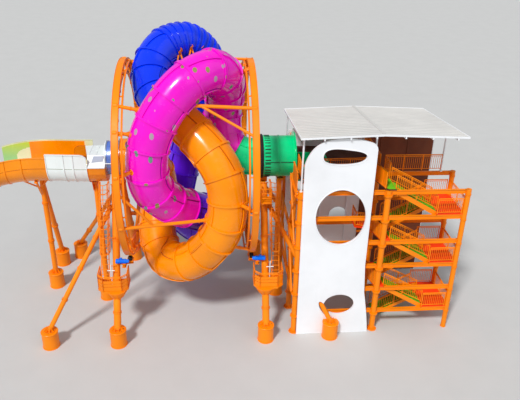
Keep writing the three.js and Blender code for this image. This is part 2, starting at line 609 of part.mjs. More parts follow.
// The fixed rings and drums around the hub on both sides, and what carries them
function hubGroup() {
  const group = new THREE.Group();
  const rightRing = [[SLEW_FACE, BORE_RADIUS], [SLEW_END, BORE_RADIUS], [SLEW_END, SLEW_RADIUS],
    [SLEW_FACE, SLEW_RADIUS]];
  const leftRing = [[SLEW_FACE, OUTLET_BORE_RADIUS], [OUTLET_DRUM_END, OUTLET_BORE_RADIUS],
    [OUTLET_DRUM_END, OUTLET_DRUM_RADIUS], [SLEW_FACE + HUB_FLANGE, OUTLET_DRUM_RADIUS],
    [SLEW_FACE + HUB_FLANGE, TUBE_RADIUS], [SLEW_FACE, TUBE_RADIUS]];
  const inletDrum = [[SLEW_END + GAP, BORE_RADIUS], [DRUM_END, BORE_RADIUS], [DRUM_END, DRUM_RADIUS],
    [SLEW_END + GAP, DRUM_RADIUS]];
  group.add(piece('slewing_ring_right', solid(raised(drum(1, rightRing))), 0x202020, { metalness: 0.6 }));
  group.add(piece('slewing_ring_left', solid(raised(drum(-1, leftRing))), 0xb8c4d8, { metalness: 0.8 }));
  group.add(piece('inlet_drum', solid(raised(drum(1, inletDrum))), 0x00dc82));
  const drumSpace = raised(drumRoom(1, SLEW_END - PASS, DRUM_END, DRUM_RADIUS));
  const rightRoom = [raised(drumRoom(1, SLEW_FACE - PASS, SLEW_END, SLEW_RADIUS)), drumSpace];
  const leftRoom = [raised(drumRoom(-1, SLEW_FACE - PASS, OUTLET_DRUM_END, OUTLET_DRUM_RADIUS))];
  group.add(piece('hub_beam_right', hubBeam(1, rightRoom), STEEL_ORANGE));
  group.add(piece('hub_beam_left', hubBeam(-1, leftRoom), STEEL_ORANGE));
  const top = HUB_HEIGHT - DRUM_RADIUS;
  const { halfX, halfY, below, above } = DRUM_SADDLE;
  const saddle = block([DRUM_COLUMN_X - halfX, -halfY, top - below],
    [DRUM_COLUMN_X + halfX, halfY, top + above]);
  const pedestal = footed([DRUM_COLUMN_X, 0], [DRUM_COLUMN_X, 0, top], PEDESTAL_RADIUS);
  group.add(piece('drum_column', cut(pedestal.add(solid(saddle)), drumSpace), STEEL_ORANGE));
  return group;
}

function supportGroup() {
  const group = new THREE.Group();
  for (const [side, word] of [[-1, 'left'], [1, 'right']]) {
    for (const [end, place] of [[-1, 'front'], [1, 'back']]) {
      group.add(piece(`roller_column_${place}_${word}`, rollerColumn(side, end), STEEL_ORANGE));
      group.add(piece(`raker_${place}_${word}`, raker(side, end), STEEL_ORANGE));
    }
    group.add(piece(`service_platform_${word}`, servicePlatform(side), STEEL_ORANGE));
    group.add(piece(`ladder_${word}`, ladder(side), STEEL_ORANGE));
    group.add(piece(`drive_motor_${word}`, driveMotor(side), 0x0082ff));
  }
  return group;
}

const FRAME_TOP = TOP_LEVEL - FLOOR_THICKNESS - GAP;
const beamMiddle = (number) => level(number) - FLOOR_THICKNESS - GAP - BEAM_DEPTH / 2;

// Room for the tower's columns
function towerRoom() {
  return TOWER_Y.flatMap((y) => TOWER_X.map((x) => post(x, y, 0, FRAME_TOP + PASS,
    TOWER_COLUMN_RADIUS + GAP)));
}

// A row of three columns with beams along X: the levels of the beams in the left and right bay
function towerFrame(y, leftLevels, rightLevels) {
  const columns = TOWER_X.map((x) => post(x, y, 0, FRAME_TOP, TOWER_COLUMN_RADIUS));
  const bay = (from, to, levels) => levels.map((number) => beam(vector(from, y, beamMiddle(number)),
    vector(to, y, beamMiddle(number)), BEAM_WIDTH, BEAM_DEPTH));
  return join(columns, bay(TOWER_X[0], TOWER_X[1], leftLevels), bay(TOWER_X[1], TOWER_X[2], rightLevels));
}

// Beams along Y on the outer side of the left columns, tied to each other by diagonals
function sideFrame() {
  const x = TOWER_X[0] - TOWER_COLUMN_RADIUS - GAP - BEAM_WIDTH / 2;
  const at = (row, number) => vector(x, TOWER_Y[row], beamMiddle(number));
  const spans = [[0, 2, 2], [0, 2, 4], [0, 1, 6]];
  const beams = spans.map(([from, to, number]) => beam(at(from, number), at(to, number),
    BEAM_WIDTH, BEAM_DEPTH));
  const braces = [[0, 2, 1, 4], [0, 6, 1, 4], [0, 4, 1, 6], [1, 2, 2, 4]];
  const ties = braces.map(([row, from, other, to]) => bar(at(row, from), at(other, to), BRACE_RADIUS));
  return join(beams, ties);
}

// A solid guard plate across the chamfered corner of a deck
function guardPlate(from, to, floor) {
  return beam(vector(...from, floor + GUARD_HEIGHT / 2), vector(...to, floor + GUARD_HEIGHT / 2),
    GUARD_THICKNESS, GUARD_HEIGHT);
}

const CHAMFER = [[12254, -3300], [12640, -4760]];

function deckGroup() {
  const group = new THREE.Group();
  const edge = TOWER_Y[0] - BEAM_WIDTH / 2;
  const back = TOWER_Y[1] + BEAM_WIDTH / 2;
  const points = (outline) => outline.map(([x, y]) => new THREE.Vector2(x, y));
  const chamferEnd = [TOWER_X[1], edge];
  const far = BACK_PANEL_Y - GAP;
  const top = [[DECK_LEFT, DECK_FRONT], CHAMFER[0], CHAMFER[1], chamferEnd, [DECK_RIGHT, edge],
    [DECK_RIGHT, back], [MAIN_DECK_RIGHT, back], [MAIN_DECK_RIGHT, far], [DECK_LEFT, far]];
  const low = [[LOW_DECK_LEFT, back], [LOW_DECK_LEFT, DECK_INNER], CHAMFER[0], CHAMFER[1], chamferEnd,
    [DECK_RIGHT, edge], [DECK_RIGHT, back]];
  const well = block([DECK_LEFT - PASS, -TUB.halfWidth - GAP, 0],
    [TUB.end + GAP, TUB.halfWidth + GAP, TOP_LEVEL + PASS]);
  const guard = (number) => guardPlate(CHAMFER[0], CHAMFER[1], level(number) - PASS);
  const room = towerRoom();
  const postRoom = ROOF_POSTS.map(([x, y, radius]) => post(x, y, FRAME_TOP - PASS, ROOF.frontZ,
    radius + GAP, 6));
  const topDeck = join(floorPlate(points(top), TOP_LEVEL, FLOOR_THICKNESS), guard(6));
  group.add(piece('top_deck', cut(topDeck, room, well, postRoom), 0xff4600));
  for (const [name, number] of [['upper_deck', 4], ['lower_deck', 2]]) {
    const floor = floorPlate(points(low), level(number), FLOOR_THICKNESS);
    const body = cut(join(floor, guard(number)), room);
    group.add(piece(name, body, 0xff4600));
  }
  const { end, halfWidth, floor, wall, lip } = TUB;
  const start = DRUM_END + GAP;
  const tub = cut(join(block([start, -halfWidth, floor - wall], [end, halfWidth, TOP_LEVEL + wall]),
    block([DECK_LEFT, -halfWidth - lip, TOP_LEVEL + GAP], [end + lip, halfWidth + lip, TOP_LEVEL + wall])),
  block([start - PASS, -halfWidth + wall, floor], [end - wall, halfWidth - wall, TOP_LEVEL + lip + PASS]));
  group.add(piece('start_tub', tub, 0x00dc82));
  return group;
}

// A flight of steps down from a floor, drawn as its outline in X and Z. It starts at one X value,
// runs to one side, and may end in a landing that reaches to another X value.
function flight(start, way, upper, frontY, landingEnd) {
  const lower = upper - 1;
  const riser = STOREY / RISERS_PER_FLIGHT;
  const x = (step) => start + way * step * TREAD;
  const last = RISERS_PER_FLIGHT - 1;
  const outline = [[start, level(upper) - riser]];
  for (let step = 1; step <= last; step += 1) {
    outline.push([x(step), level(upper) - step * riser], [x(step), level(upper) - (step + 1) * riser]);
  }
  const bottom = Math.max(0, level(lower) - FLOOR_THICKNESS);
  if (landingEnd) outline.push([landingEnd, level(lower)], [landingEnd, bottom]);
  else outline.push([x(last), bottom]);
  outline.push([x(last - 1), bottom], [start, level(upper) - riser - WAIST]);
  const clean = outline.filter(([px, pz], i) => i === 0 || px !== outline[i - 1][0]
    || pz !== outline[i - 1][1]);
  return uprightPlate(clean.map(([px, pz]) => new THREE.Vector2(px, pz)), [], frontY,
    frontY + FLIGHT_WIDTH);
}

function stairGroup() {
  const group = new THREE.Group();
  const front = TOWER_Y[0] + BEAM_WIDTH / 2 + GAP;
  const back = TOWER_Y[1] - BEAM_WIDTH / 2 - GAP - FLIGHT_WIDTH;
  const run = (RISERS_PER_FLIGHT - 1) * TREAD;
  const landing = DECK_RIGHT + GAP + run;
  const room = towerRoom();
  for (const [name, upper] of [['upper', 6], ['middle', 4], ['lower', 2]]) {
    const floor = level(upper - 1);
    const plate = block([landing, TOWER_Y[0] - BEAM_WIDTH / 2, floor - FLOOR_THICKNESS],
      [TOWER_X[2], TOWER_Y[1] + BEAM_WIDTH / 2, floor]);
    const down = flight(DECK_RIGHT + GAP, 1, upper, front, landing + TREAD);
    group.add(piece(`front_flight_${name}`, cut(join(down, plate), room), 0x6ebe14));
    group.add(piece(`back_flight_${name}`, flight(landing - GAP, -1, upper - 1, back), 0x6ebe14));
  }
  return group;
}

// Draws a path from its steps
function drawn(path, [[start], ...steps]) {
  path.moveTo(...start);
  for (const step of steps) {
    if (step.length === 1) path.lineTo(...step[0]);
    else if (step.length === 2) path.quadraticCurveTo(...step.flat());
    else path.bezierCurveTo(...step.flat());
  }
  return path;
}

// The sculpted front with its three holes
function frontPanel() {
  const points = drawn(new THREE.Shape(), PANEL_EDGE).getPoints(5);
  const eye = drawn(new THREE.Path(), EYE).getPoints(4).slice(0, -1);
  const egg = [];
  for (let i = 0; i < EGG.count; i += 1) {
    const angle = (i / EGG.count) * 2 * Math.PI;
    egg.push(new THREE.Vector2(EGG.x + EGG.radiusX * Math.cos(angle) - EGG.skewX * Math.sin(angle),
      EGG.z + EGG.radiusZ * Math.sin(angle) + EGG.skewZ * Math.cos(angle)));
  }
  const arch = ovalPoints(...ARCH, ARCH_COUNT);
  const back = TOWER_Y[0] - TOWER_COLUMN_RADIUS - GAP;
  const plate = uprightPlate(points, [eye, egg, arch], back - PANEL_THICKNESS, back);
  const { foot, head } = rakerLine(1, -1);
  const passage = bar(vector(...foot, FOOTING_HEIGHT), vector(...head), RAKER_RADIUS + PANEL_CLEARANCE, 10);
  return cut(plate, post(...foot, -GAP, FOOTING_HEIGHT + GAP, FOOTING_RADIUS + GAP, 12), passage);
}

// The roof's two plates slope from front to back and meet in a low ridge, and posts carry them
function roof() {
  const { left, ridge, right, front, back, frontZ, rise } = ROOF;
  const profile = [[left, 0], [ridge, rise], [right, 0], [right, -ROOF_THICKNESS],
    [ridge, rise - ROOF_THICKNESS], [left, -ROOF_THICKNESS]]
    .map(([x, z]) => new THREE.Vector2(x, frontZ + ROOF_THICKNESS + z));
  const plates = uprightPlate(profile, [], front, back);
  const fall = new THREE.Matrix4().makeTranslation(0, 0, -ROOF_FALL * -front)
    .multiply(new THREE.Matrix4().set(1, 0, 0, 0, 0, 1, 0, 0, 0, -ROOF_FALL, 1, 0, 0, 0, 0, 1));
  plates.applyMatrix4(fall);
  const crown = (x) => rise * (x < ridge ? (x - left) / (ridge - left) : (right - x) / (right - ridge));
  const height = (x, y) => frontZ + crown(x) - ROOF_FALL * (y - front) + ROOF_THICKNESS / 2;
  const posts = ROOF_POSTS.map(([x, y, radius]) => post(x, y, FRAME_TOP + GAP, height(x, y), radius, 6));
  return join(plates, posts);
}

function towerGroup() {
  const group = new THREE.Group();
  const all = [1, 2, 3, 4, 5, 6];
  const even = [2, 4, 6];
  group.add(piece('frame_front', towerFrame(TOWER_Y[0], all, all), STEEL_ORANGE));
  group.add(piece('frame_middle', towerFrame(TOWER_Y[1], even, all), STEEL_ORANGE));
  group.add(piece('frame_back', towerFrame(TOWER_Y[2], even, even), STEEL_ORANGE));
  group.add(piece('frame_left', sideFrame(), STEEL_ORANGE));
  const floor = TOP_LEVEL + GAP;
  const inner = DECK_LEFT + RAIL_SECTION;
  const [frontX, stairY, stairX, deckX, deckY] = RAIL_ENDS;
  const right = DECK_RIGHT - RAIL_SECTION;
  const lines = {
    front: [[inner, -TUB.halfWidth - RAIL_BAY / 8], [inner, DECK_FRONT + RAIL_SECTION], [frontX, stairY]],
    stair: [[right, stairY], [right, TOWER_Y[1]], [stairX, TOWER_Y[1]]],
    deck: [[deckX, deckY], [deckX, TOWER_Y[1] + BEAM_WIDTH]],
  };
  for (const [word, line] of Object.entries(lines)) {
    group.add(piece(`guard_rail_${word}`, railing(line, floor, GUARD_HEIGHT), STEEL_ORANGE));
  }
  const holes = BACK_HOLES.map(([x, z, radius]) => ovalPoints(x, z, radius, radius, 14));
  const { left, above } = BACK_PANEL;
  const far = TOWER_X[2] + TOWER_COLUMN_RADIUS;
  const sheet = [[left, 0], [far, 0], [far, TOP_LEVEL + above], [left, TOP_LEVEL + above]]
    .map(([x, z]) => new THREE.Vector2(x, z));
  group.add(piece('front_panel', frontPanel(), 0xf0f3f6, { roughness: 0.5 }));
  const backPanel = uprightPlate(sheet, holes, BACK_PANEL_Y, BACK_PANEL_Y + PANEL_THICKNESS);
  group.add(piece('back_panel', backPanel, 0xf0f3f6));
  group.add(piece('roof', roof(), 0xe8e6e2, { roughness: 0.6 }));
  return group;
}

const parts = new THREE.Group();
parts.add(wheelGroup(), supportGroup(), hubGroup(), outletGroup(), towerGroup(), deckGroup(), stairGroup());
parts.updateMatrixWorld(true);
const middle = new THREE.Box3().setFromObject(parts).getCenter(vector(0, 0, 0));
parts.position.set(-middle.x, -middle.y, 0);

const model = new THREE.Group();
model.add(parts);
model.updateMatrixWorld(true);

export default model;
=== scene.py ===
# Dresses the water slide tower: a turning slide wheel on rollers between two supports, its outlet
# trough, and the stair tower with a sculpted white front.
import bisect
import math

import bmesh
import bpy
from mathutils import Matrix, Vector
from mathutils.geometry import tessellate_polygon


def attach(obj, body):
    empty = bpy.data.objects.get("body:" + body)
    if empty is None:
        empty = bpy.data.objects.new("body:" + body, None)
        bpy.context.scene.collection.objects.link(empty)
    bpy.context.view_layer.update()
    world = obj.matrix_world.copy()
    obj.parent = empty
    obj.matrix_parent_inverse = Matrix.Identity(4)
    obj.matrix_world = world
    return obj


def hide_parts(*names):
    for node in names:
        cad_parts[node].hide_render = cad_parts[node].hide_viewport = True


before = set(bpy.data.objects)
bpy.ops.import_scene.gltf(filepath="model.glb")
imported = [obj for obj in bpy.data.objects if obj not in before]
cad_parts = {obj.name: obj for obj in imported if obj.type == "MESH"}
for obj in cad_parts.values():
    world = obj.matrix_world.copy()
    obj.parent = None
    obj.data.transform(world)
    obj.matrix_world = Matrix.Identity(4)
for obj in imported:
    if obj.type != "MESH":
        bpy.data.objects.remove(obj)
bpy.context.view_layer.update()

# Lengths are metres. X is measured from the wheel's middle, Y to the back and Z from the ground.
ORIGIN = Vector((-2.3685, 0, 0))
HUB = 11.55
WHEEL = "wheel"
STRUCTURE = "structure"
AXIS_X, AXIS_Y, AXIS_Z = Vector((1, 0, 0)), Vector((0, 1, 0)), Vector((0, 0, 1))
# Pieces that touch on the real ride are this far apart
GAP = 0.0003


# Looks. Colours are screen values of 0 to 255.

PATCH_SCALE, RAIN_SCALE, RAIN_STRETCH, GLOSS_SCALE = 0.45, 1.6, (1, 1, 0.12), 2.2
DROP_SCALE, DROP_STRETCH, DROP_EDGE = 1.6, (1, 1, 0.62), (0.2, 0.225)
MIX_SHARE, MIX_FIRST, MIX_SECOND, MIX_RESULT = 0, 6, 7, 2


def linear(screen, share=1):
    """The colour that a shader takes, made darker or lighter by a share."""
    values = [v / 255 / 12.92 if v <= 10 else ((v / 255 + 0.055) / 1.055) ** 2.4 for v in screen]
    return (*(share * v for v in values), 1)


class Nodes:
    """Short calls for one material's nodes."""

    def __init__(self, tree):
        self.tree = tree
        self.place = tree.nodes.new("ShaderNodeTexCoord").outputs["Object"]

    def add(self, kind, inputs=(), **settings):
        node = self.tree.nodes.new("ShaderNode" + kind)
        for name, value in settings.items():
            setattr(node, name, value)
        for name, value in dict(inputs).items():
            self.feed(node.inputs[name], value)
        return node

    def feed(self, socket, value):
        if isinstance(value, bpy.types.NodeSocket):
            self.tree.links.new(value, socket)
        else:
            socket.default_value = value

    def stretched(self, stretch):
        return self.add("Mapping", {"Vector": self.place, "Scale": stretch}).outputs["Vector"]

    def noise(self, scale, detail=3.0, stretch=(1, 1, 1)):
        inputs = {"Vector": self.stretched(stretch), "Scale": scale, "Detail": detail}
        return self.add("TexNoise", inputs).outputs["Fac"]

    def spread(self, value, low, high, to_low, to_high):
        return self.add("MapRange", {"Value": value, "From Min": low, "From Max": high, "To Min": to_low,
                                     "To Max": to_high}).outputs["Result"]

    def mix(self, share, first, second):
        node = self.add("Mix", data_type="RGBA")
        for socket, value in ((MIX_SHARE, share), (MIX_FIRST, first), (MIX_SECOND, second)):
            self.feed(node.inputs[socket], value)
        return node.outputs[MIX_RESULT]

    def drops(self, paint, screens):
        """The paint with scattered drops of three colours on it."""
        cell = self.add("TexVoronoi", {"Vector": self.stretched(DROP_STRETCH), "Scale": DROP_SCALE})
        tint = self.add("ValToRGB", {"Fac": cell.outputs["Color"]})
        stops = tint.color_ramp.elements
        tint.color_ramp.interpolation = "CONSTANT"
        stops[0].color = linear(screens[0])
        for place, screen in zip((0.4, 0.6), screens[1:]):
            stops.new(place).color = linear(screen)
        stops.remove(stops[-1])
        spot = self.spread(cell.outputs["Distance"], *DROP_EDGE, 1.0, 0.0)
        return self.mix(spot, paint, tint.outputs["Color"])


def look(name, screen, rough, metal=0.0, coat=0.0, tone=0.14, streak=0.12, grain=60.0, bump=0.15, drops=None,
         fade=None):
    """A painted or moulded surface with uneven tone, faint rain streaks, uneven gloss and a fine grain."""
    made = bpy.data.materials.new(name)
    made.use_nodes = True
    made.diffuse_color = linear(screen)
    nodes = Nodes(made.node_tree)
    shader = made.node_tree.nodes["Principled BSDF"]
    patches = nodes.spread(nodes.noise(PATCH_SCALE, 5.0), 0.35, 0.65, 0.0, 1.0)
    paint = nodes.mix(patches, linear(screen, 1 - tone), linear(screen, 1 + tone / 3))
    rain = nodes.spread(nodes.noise(RAIN_SCALE, 4.0, RAIN_STRETCH), 0.55, 0.8, 0.0, streak)
    paint = nodes.mix(rain, paint, linear(screen, 0.55))
    if fade:
        foot_screen, low, high = fade
        height = nodes.add("SeparateXYZ", {"Vector": nodes.place}).outputs["Z"]
        paint = nodes.mix(nodes.spread(height, low, high, 1.0, 0.0), paint, linear(foot_screen))
    if drops:
        paint = nodes.drops(paint, drops)
    nodes.feed(shader.inputs["Base Color"], paint)
    gloss = nodes.spread(nodes.noise(GLOSS_SCALE, 4.0), 0.3, 0.7, max(0.04, rough - 0.08), rough + 0.1)
    nodes.feed(shader.inputs["Roughness"], gloss)
    for socket, value in (("Metallic", metal), ("Coat Weight", coat), ("Coat Roughness", 0.08),
                          ("Specular IOR Level", 0.3)):
        shader.inputs[socket].default_value = value
    relief = nodes.add("Bump", {"Height": nodes.noise(grain, 2.0), "Strength": bump, "Distance": 0.01})
    nodes.feed(shader.inputs["Normal"], relief.outputs["Normal"])
    return made


def shell(name, screen, rough=0.2, coat=0.3, streak=0.05, **rest):
    """A smooth glossy moulding."""
    return look(name, screen, rough, coat=coat, bump=0.05, streak=streak, **rest)


def deck_paint(name, screen, rough=0.65, grain=25.0, bump=0.4):
    return look(name, screen, rough, grain=grain, bump=bump)


STEEL = look("orange paint", (255, 140, 0), 0.42, tone=0.1)
MAGENTA = shell("magenta shell", (246, 14, 205), drops=((142, 138, 78), (176, 150, 166), (108, 146, 128)))
PURPLE = shell("purple shell", (96, 24, 238))
BLUE = shell("blue shell", (0, 54, 235), coat=0.2)
TUBE_ORANGE = shell("orange shell", (255, 148, 0), 0.22, 0.15)
JOINT = look("pale joint", (150, 158, 130), 0.6)
WINDOW = look("box window", (150, 160, 182), 0.3)
GREEN = shell("green shell", (0, 226, 142), streak=0.12)
WHITE_SHELL = shell("white shell", (240, 247, 245), 0.22, streak=0.12, tone=0.06)
LIME = shell("lime shell", (200, 222, 64), 0.22, streak=0.12, tone=0.06, fade=((158, 212, 138), 10.4, 11.6))
CREAM = shell("cream shell", (238, 244, 196), 0.25, 0.4, 0.12)
BLACK = look("bearing paint", (34, 34, 36), 0.45)
CHROME = look("bright metal", (190, 200, 220), 0.25, metal=0.9, tone=0.2)
MOTOR = look("motor paint", (0, 120, 255), 0.35)
PANEL = look("white panel paint", (242, 244, 247), 0.45, tone=0.05, streak=0.06)
ROOF = look("pale roof sheet", (212, 210, 206), 0.6, tone=0.06)
# The top deck is dark brown instead of red: painted shade under the roof.
TOP_DECK_SHADE = deck_paint("top deck painted shade", (92, 50, 34))
# Brown for the inside of the back sheet's right half: painted shade, tinted as if by light reflected off the
# orange steel.
BACK_SHEET_SHADE = look("back sheet painted shade", (120, 62, 36), 0.6, tone=0.3, streak=0.3)
MAT = deck_paint("green floor mat", (112, 196, 24), 0.7, 18.0, 0.5)
FLOOR_RED = deck_paint("red floor paint", (255, 66, 0))
TREAD_GREEN = deck_paint("green tread paint", (110, 190, 25))
BOLT = look("bolt metal", (120, 122, 126), 0.35, metal=0.8)
STEELWORK = (STEEL, BOLT)

# Darker copies of each shell colour. They mark the joints between the shells, and in the grooves between the
# lips, beside the flanges and along the orange cheek's edge they are also painted shade.
SEAM_AND_SHADE_LOOKS = {made: look(name + " seam", screen, 0.5) for made, name, screen in (
    (MAGENTA, "magenta", (150, 10, 122)), (PURPLE, "purple", (44, 10, 120)), (BLUE, "blue", (0, 24, 130)),
    (TUBE_ORANGE, "orange", (190, 84, 0)), (GREEN, "green", (0, 110, 70)))}

NODE_LOOKS = {
    "trough_upper": WHITE_SHELL, "trough_lower": TUBE_ORANGE, "outlet_box_base": TUBE_ORANGE,
    "outlet_box_cover": WHITE_SHELL, "slewing_ring_right": BLACK, "slewing_ring_left": CHROME,
    "inlet_drum": GREEN, "start_tub": GREEN, "front_panel": PANEL, "back_panel": PANEL, "roof": ROOF,
    "drive_motor_left": MOTOR, "drive_motor_right": MOTOR, "top_deck": TOP_DECK_SHADE, "upper_deck": FLOOR_RED,
    "lower_deck": FLOOR_RED, "inlet_tube": MAGENTA,
}
for node_name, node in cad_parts.items():
    node.data.materials.clear()
    node.data.materials.append(NODE_LOOKS.get(node_name, TREAD_GREEN if "flight" in node_name else STEEL))


# Shapes

STRAIGHT = 0.999
SHARP_ANGLE, BEVEL_ANGLE = math.radians(35), math.radians(40)


def around(axis, count, turn=0.0):
    """Directions square to an axis, evenly spaced about it."""
    axis = axis.normalized()
    side = axis.orthogonal().normalized() if abs(axis.x) < STRAIGHT else AXIS_Y.copy()
    other = axis.cross(side)
    turns = [turn + 2 * math.pi * i / count for i in range(count)]
    return [side * math.cos(t) + other * math.sin(t) for t in turns]


class Shape:
    """Gathers the faces of one piece, each with the number of its look. Points may be plain tuples."""

    def __init__(self):
        self.points, self.faces, self.looks = [], [], []

    def face(self, corners, use=0):
        self.faces.append(tuple(corners))
        self.looks.append(use)

    def skin(self, rows, use=0, closed=True, caps=False, ends=False):
        """Joins rows of points. Closed joins each row's ends, ends joins the last row to the first."""
        first, width, count = len(self.points), len(rows[0]), len(rows)
        self.points += [Vector(p) for row in rows for p in row]
        for i in range(count if ends else count - 1):
            for j in range(width if closed else width - 1):
                k, low, high = (j + 1) % width, first + i * width, first + (i + 1) % count * width
                self.face((low + j, low + k, high + k, high + j), use)
        if caps:
            self.face(reversed(range(first, first + width)), use)
            self.face(range(first + (count - 1) * width, first + count * width), use)

    def slab(self, corners, step, use=0):
        """A flat plate with its faces one step to each side of the corners."""
        self.skin([[c - step for c in corners], [c + step for c in corners]], use, caps=True)

    def turned(self, start, axis, profile, sides=32, use=0, ends=False):
        """A body turned about an axis, from (distance, radius) pairs. Ends makes it a ring."""
        start, axis, outs = Vector(start), axis.normalized(), around(axis, sides)
        rows = [[start + axis * d + out * r for out in outs] for d, r in profile]
        self.skin(rows, use, True, not ends, ends)

    def bar(self, start, end, radius, sides=16, use=0):
        along = Vector(end) - Vector(start)
        self.turned(start, along, [(0, radius), (along.length, radius)], sides, use)

    def line(self, points, radius, sides=6, use=0):
        for start, end in zip(points, points[1:]):
            self.bar(start, end, radius, sides, use)

    def box(self, low, high, use=0):
        (x0, y0, z0), (x1, y1, z1) = low, high
        self.skin([[(x0, y0, z), (x1, y0, z), (x1, y1, z), (x0, y1, z)] for z in (z0, z1)], use, caps=True)

    def block(self, centre, size, use=0):
        """A box about its centre."""
        half = Vector(size) / 2
        self.box(Vector(centre) - half, Vector(centre) + half, use)

    def beam(self, start, end, width, depth, use=0):
        """A square bar whose sides stay upright."""
        start, end = Vector(start), Vector(end)
        along = (end - start).normalized()
        side = (along.cross(AXIS_Z).normalized() if abs(along.z) < STRAIGHT else AXIS_X) * (width / 2)
        up = side.cross(along).normalized() * (depth / 2)
        rows = [[p - side - up, p + side - up, p + side + up, p - side + up] for p in (start, end)]
        self.skin(rows, use, caps=True)

    def plate(self, outline, holes, place, depth, use=0):
        """A flat plate with holes. place turns a pair of numbers and a depth into a point."""
        loops = [outline, *holes]
        faces = tessellate_polygon([[Vector((u, v, 0)) for u, v in loop] for loop in loops])
        for d, flip in ((0, False), (depth, True)):
            first = len(self.points)
            self.points += [Vector(place(u, v, d)) for loop in loops for u, v in loop]
            for corners in faces:
                self.face([first + i for i in (reversed(corners) if flip else corners)], use)
        for loop in loops:
            self.skin([[place(u, v, d) for u, v in loop] for d in (0, depth)], use)

    def piece(self, name, node=None, looks=(STEEL,), body=STRUCTURE, bevel=0.0):
        """Makes the piece, which rides on a body and may replace a node."""
        mesh = bpy.data.meshes.new(name)
        mesh.from_pydata([tuple(p + ORIGIN) for p in self.points], [], self.faces)
        for made in looks:
            mesh.materials.append(made)
        mesh.polygons.foreach_set("material_index", self.looks)
        mesh.polygons.foreach_set("use_smooth", [True] * len(self.faces))
        mesh.update()
        outward = bmesh.new()
        outward.from_mesh(mesh)
        bmesh.ops.recalc_face_normals(outward, faces=outward.faces)
        outward.to_mesh(mesh)
        outward.free()
        mesh.set_sharp_from_angle(angle=SHARP_ANGLE)
        obj = bpy.data.objects.new(name, mesh)
        bpy.context.scene.collection.objects.link(obj)
        if bevel:
            rounding = obj.modifiers.new("edges", "BEVEL")
            rounding.width, rounding.segments, rounding.limit_method = bevel, 1, "ANGLE"
            rounding.angle_limit = BEVEL_ANGLE
        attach(obj, body)
        if node:
            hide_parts(node)


# The slide

HALF_ROUTE = [
    (0, 5.06, 0), (0.83, 4.9, 3.19), (1.16, 4.02, 5.83), (-0.11, 3.3, 7.15), (-1.6, 2.42, 6.93),
    (-2.37, 1.16, 5.78), (-2.04, -0.5, 4.51), (-0.44, -1.87, 3.25), (1.27, -3.3, 1.87), (2.26, -4.24, 0.33),
    (2.48, -4.62, -1.32), (2.15, -4.51, -3.19), (1.1, -4.07, -5.06), (-0.33, -3.41, -6.38),
    (-1.71, -2.37, -6.66), (-2.37, -0.99, -5.72), (-2.42, 0.39, -4.29), (-2.31, 0.96, -2.86),
    (-2.36, 0.6, -1.65), (-2.85, 0.23, -0.48), (-3.96, 0, 0), (-4.65, 0, 0),
]
ROUTE_STEPS = 60
TUBE_RADIUS, TUBE_WALL, TUBE_SIDES = 1.3, 0.03, 48
LIP, LIP_WIDTH, GROOVE_WIDTH = 0.085, 0.06, 0.016
RIB, RIB_BED, SHELL_BED = 0.08, 0.035, 0.01
STATION_SPACING, INNER_SPACING = 0.28, 0.5
FLANGE_TURNS = (44, 28)
TOP = 20.068
GREEN_END = 1.55
# Each section of the slide with the share of the route where it ends, its look, slot and seam spacing
SECTIONS = [
    ("inlet_tube", 0.125, MAGENTA, "tube_magenta", 1.55),
    ("magenta_tube", 0.285, MAGENTA, "tube_magenta", 1.6),
    ("purple_tube", 0.375, PURPLE, "tube_purple", 1.55),
    ("lower_back_tube", 0.5, PURPLE, "tube_purple", 1.6),
    ("ribbed_blue_tube", 0.62, BLUE, "tube_blue", 0.38),
    ("blue_tube", 0.7, BLUE, "tube_blue", 1.4),
    ("orange_tube", 0.875, TUBE_ORANGE, "tube_orange", 1.55),
    ("outlet_tube", 1.0, TUBE_ORANGE, "tube_orange", 1.5),
]


def capped(point):
    """The point, or the one under it at the slide's highest level."""
    return Vector((point.x, point.y, min(point.z, TOP)))


class Route:
    """The slide's centre line, read by distance. Its first half is its second half turned over."""

    def __init__(self):
        turned = [Vector((-x, y, -z)) for x, y, z in reversed(HALF_ROUTE[1:])]
        knots = turned + [Vector(p) for p in HALF_ROUTE]
        self.points = []
        for i in range(len(knots) - 1):
            a = knots[i - 1] if i else 2 * knots[0] - knots[1]
            d = knots[i + 2] if i + 2 < len(knots) else 2 * knots[-1] - knots[-2]
            self.points += [self.blend(a, knots[i], knots[i + 1], d, step / ROUTE_STEPS)
                            for step in range(ROUTE_STEPS)]
        self.points = [p + AXIS_Z * HUB for p in (*self.points, knots[-1])]
        self.distances = [0.0]
        for before, after in zip(self.points, self.points[1:]):
            self.distances.append(self.distances[-1] + (after - before).length)
        self.length = self.distances[-1]

    @staticmethod
    def blend(a, b, c, d, share):
        """A point between b and c on the curve through four knots."""
        d0, d1, d2 = (math.sqrt((q - p).length) for p, q in ((a, b), (b, c), (c, d)))
        t1 = ((b - a) / d0 - (c - a) / (d0 + d1) + (c - b) / d1) * d1
        t2 = ((c - b) / d1 - (d - b) / (d1 + d2) + (d - c) / d2) * d1
        bend, twist = 3 * c - 3 * b - 2 * t1 - t2, 2 * b - 2 * c + t1 + t2
        return b + t1 * share + bend * share ** 2 + twist * share ** 3

    def at(self, distance):
        """The point and the direction at a distance."""
        distance = min(max(distance, 0.0), self.length - 1e-6)
        i = min(bisect.bisect_right(self.distances, distance) - 1, len(self.points) - 2)
        share = (distance - self.distances[i]) / (self.distances[i + 1] - self.distances[i])
        low, high = max(i - 1, 0), min(i + 2, len(self.points) - 1)
        before = self.points[i + 1] - self.points[low]
        after = self.points[high] - self.points[i]
        return self.points[i].lerp(self.points[i + 1], share), before.lerp(after, share).normalized()

    def ring(self, distance, radius):
        centre, along = self.at(distance)
        side = along.cross(AXIS_Y).normalized()
        other = along.cross(side)
        turns = [2 * math.pi * i / TUBE_SIDES for i in range(TUBE_SIDES)]
        return [capped(centre + (side * math.cos(t) + other * math.sin(t)) * radius) for t in turns]


ROUTE = Route()


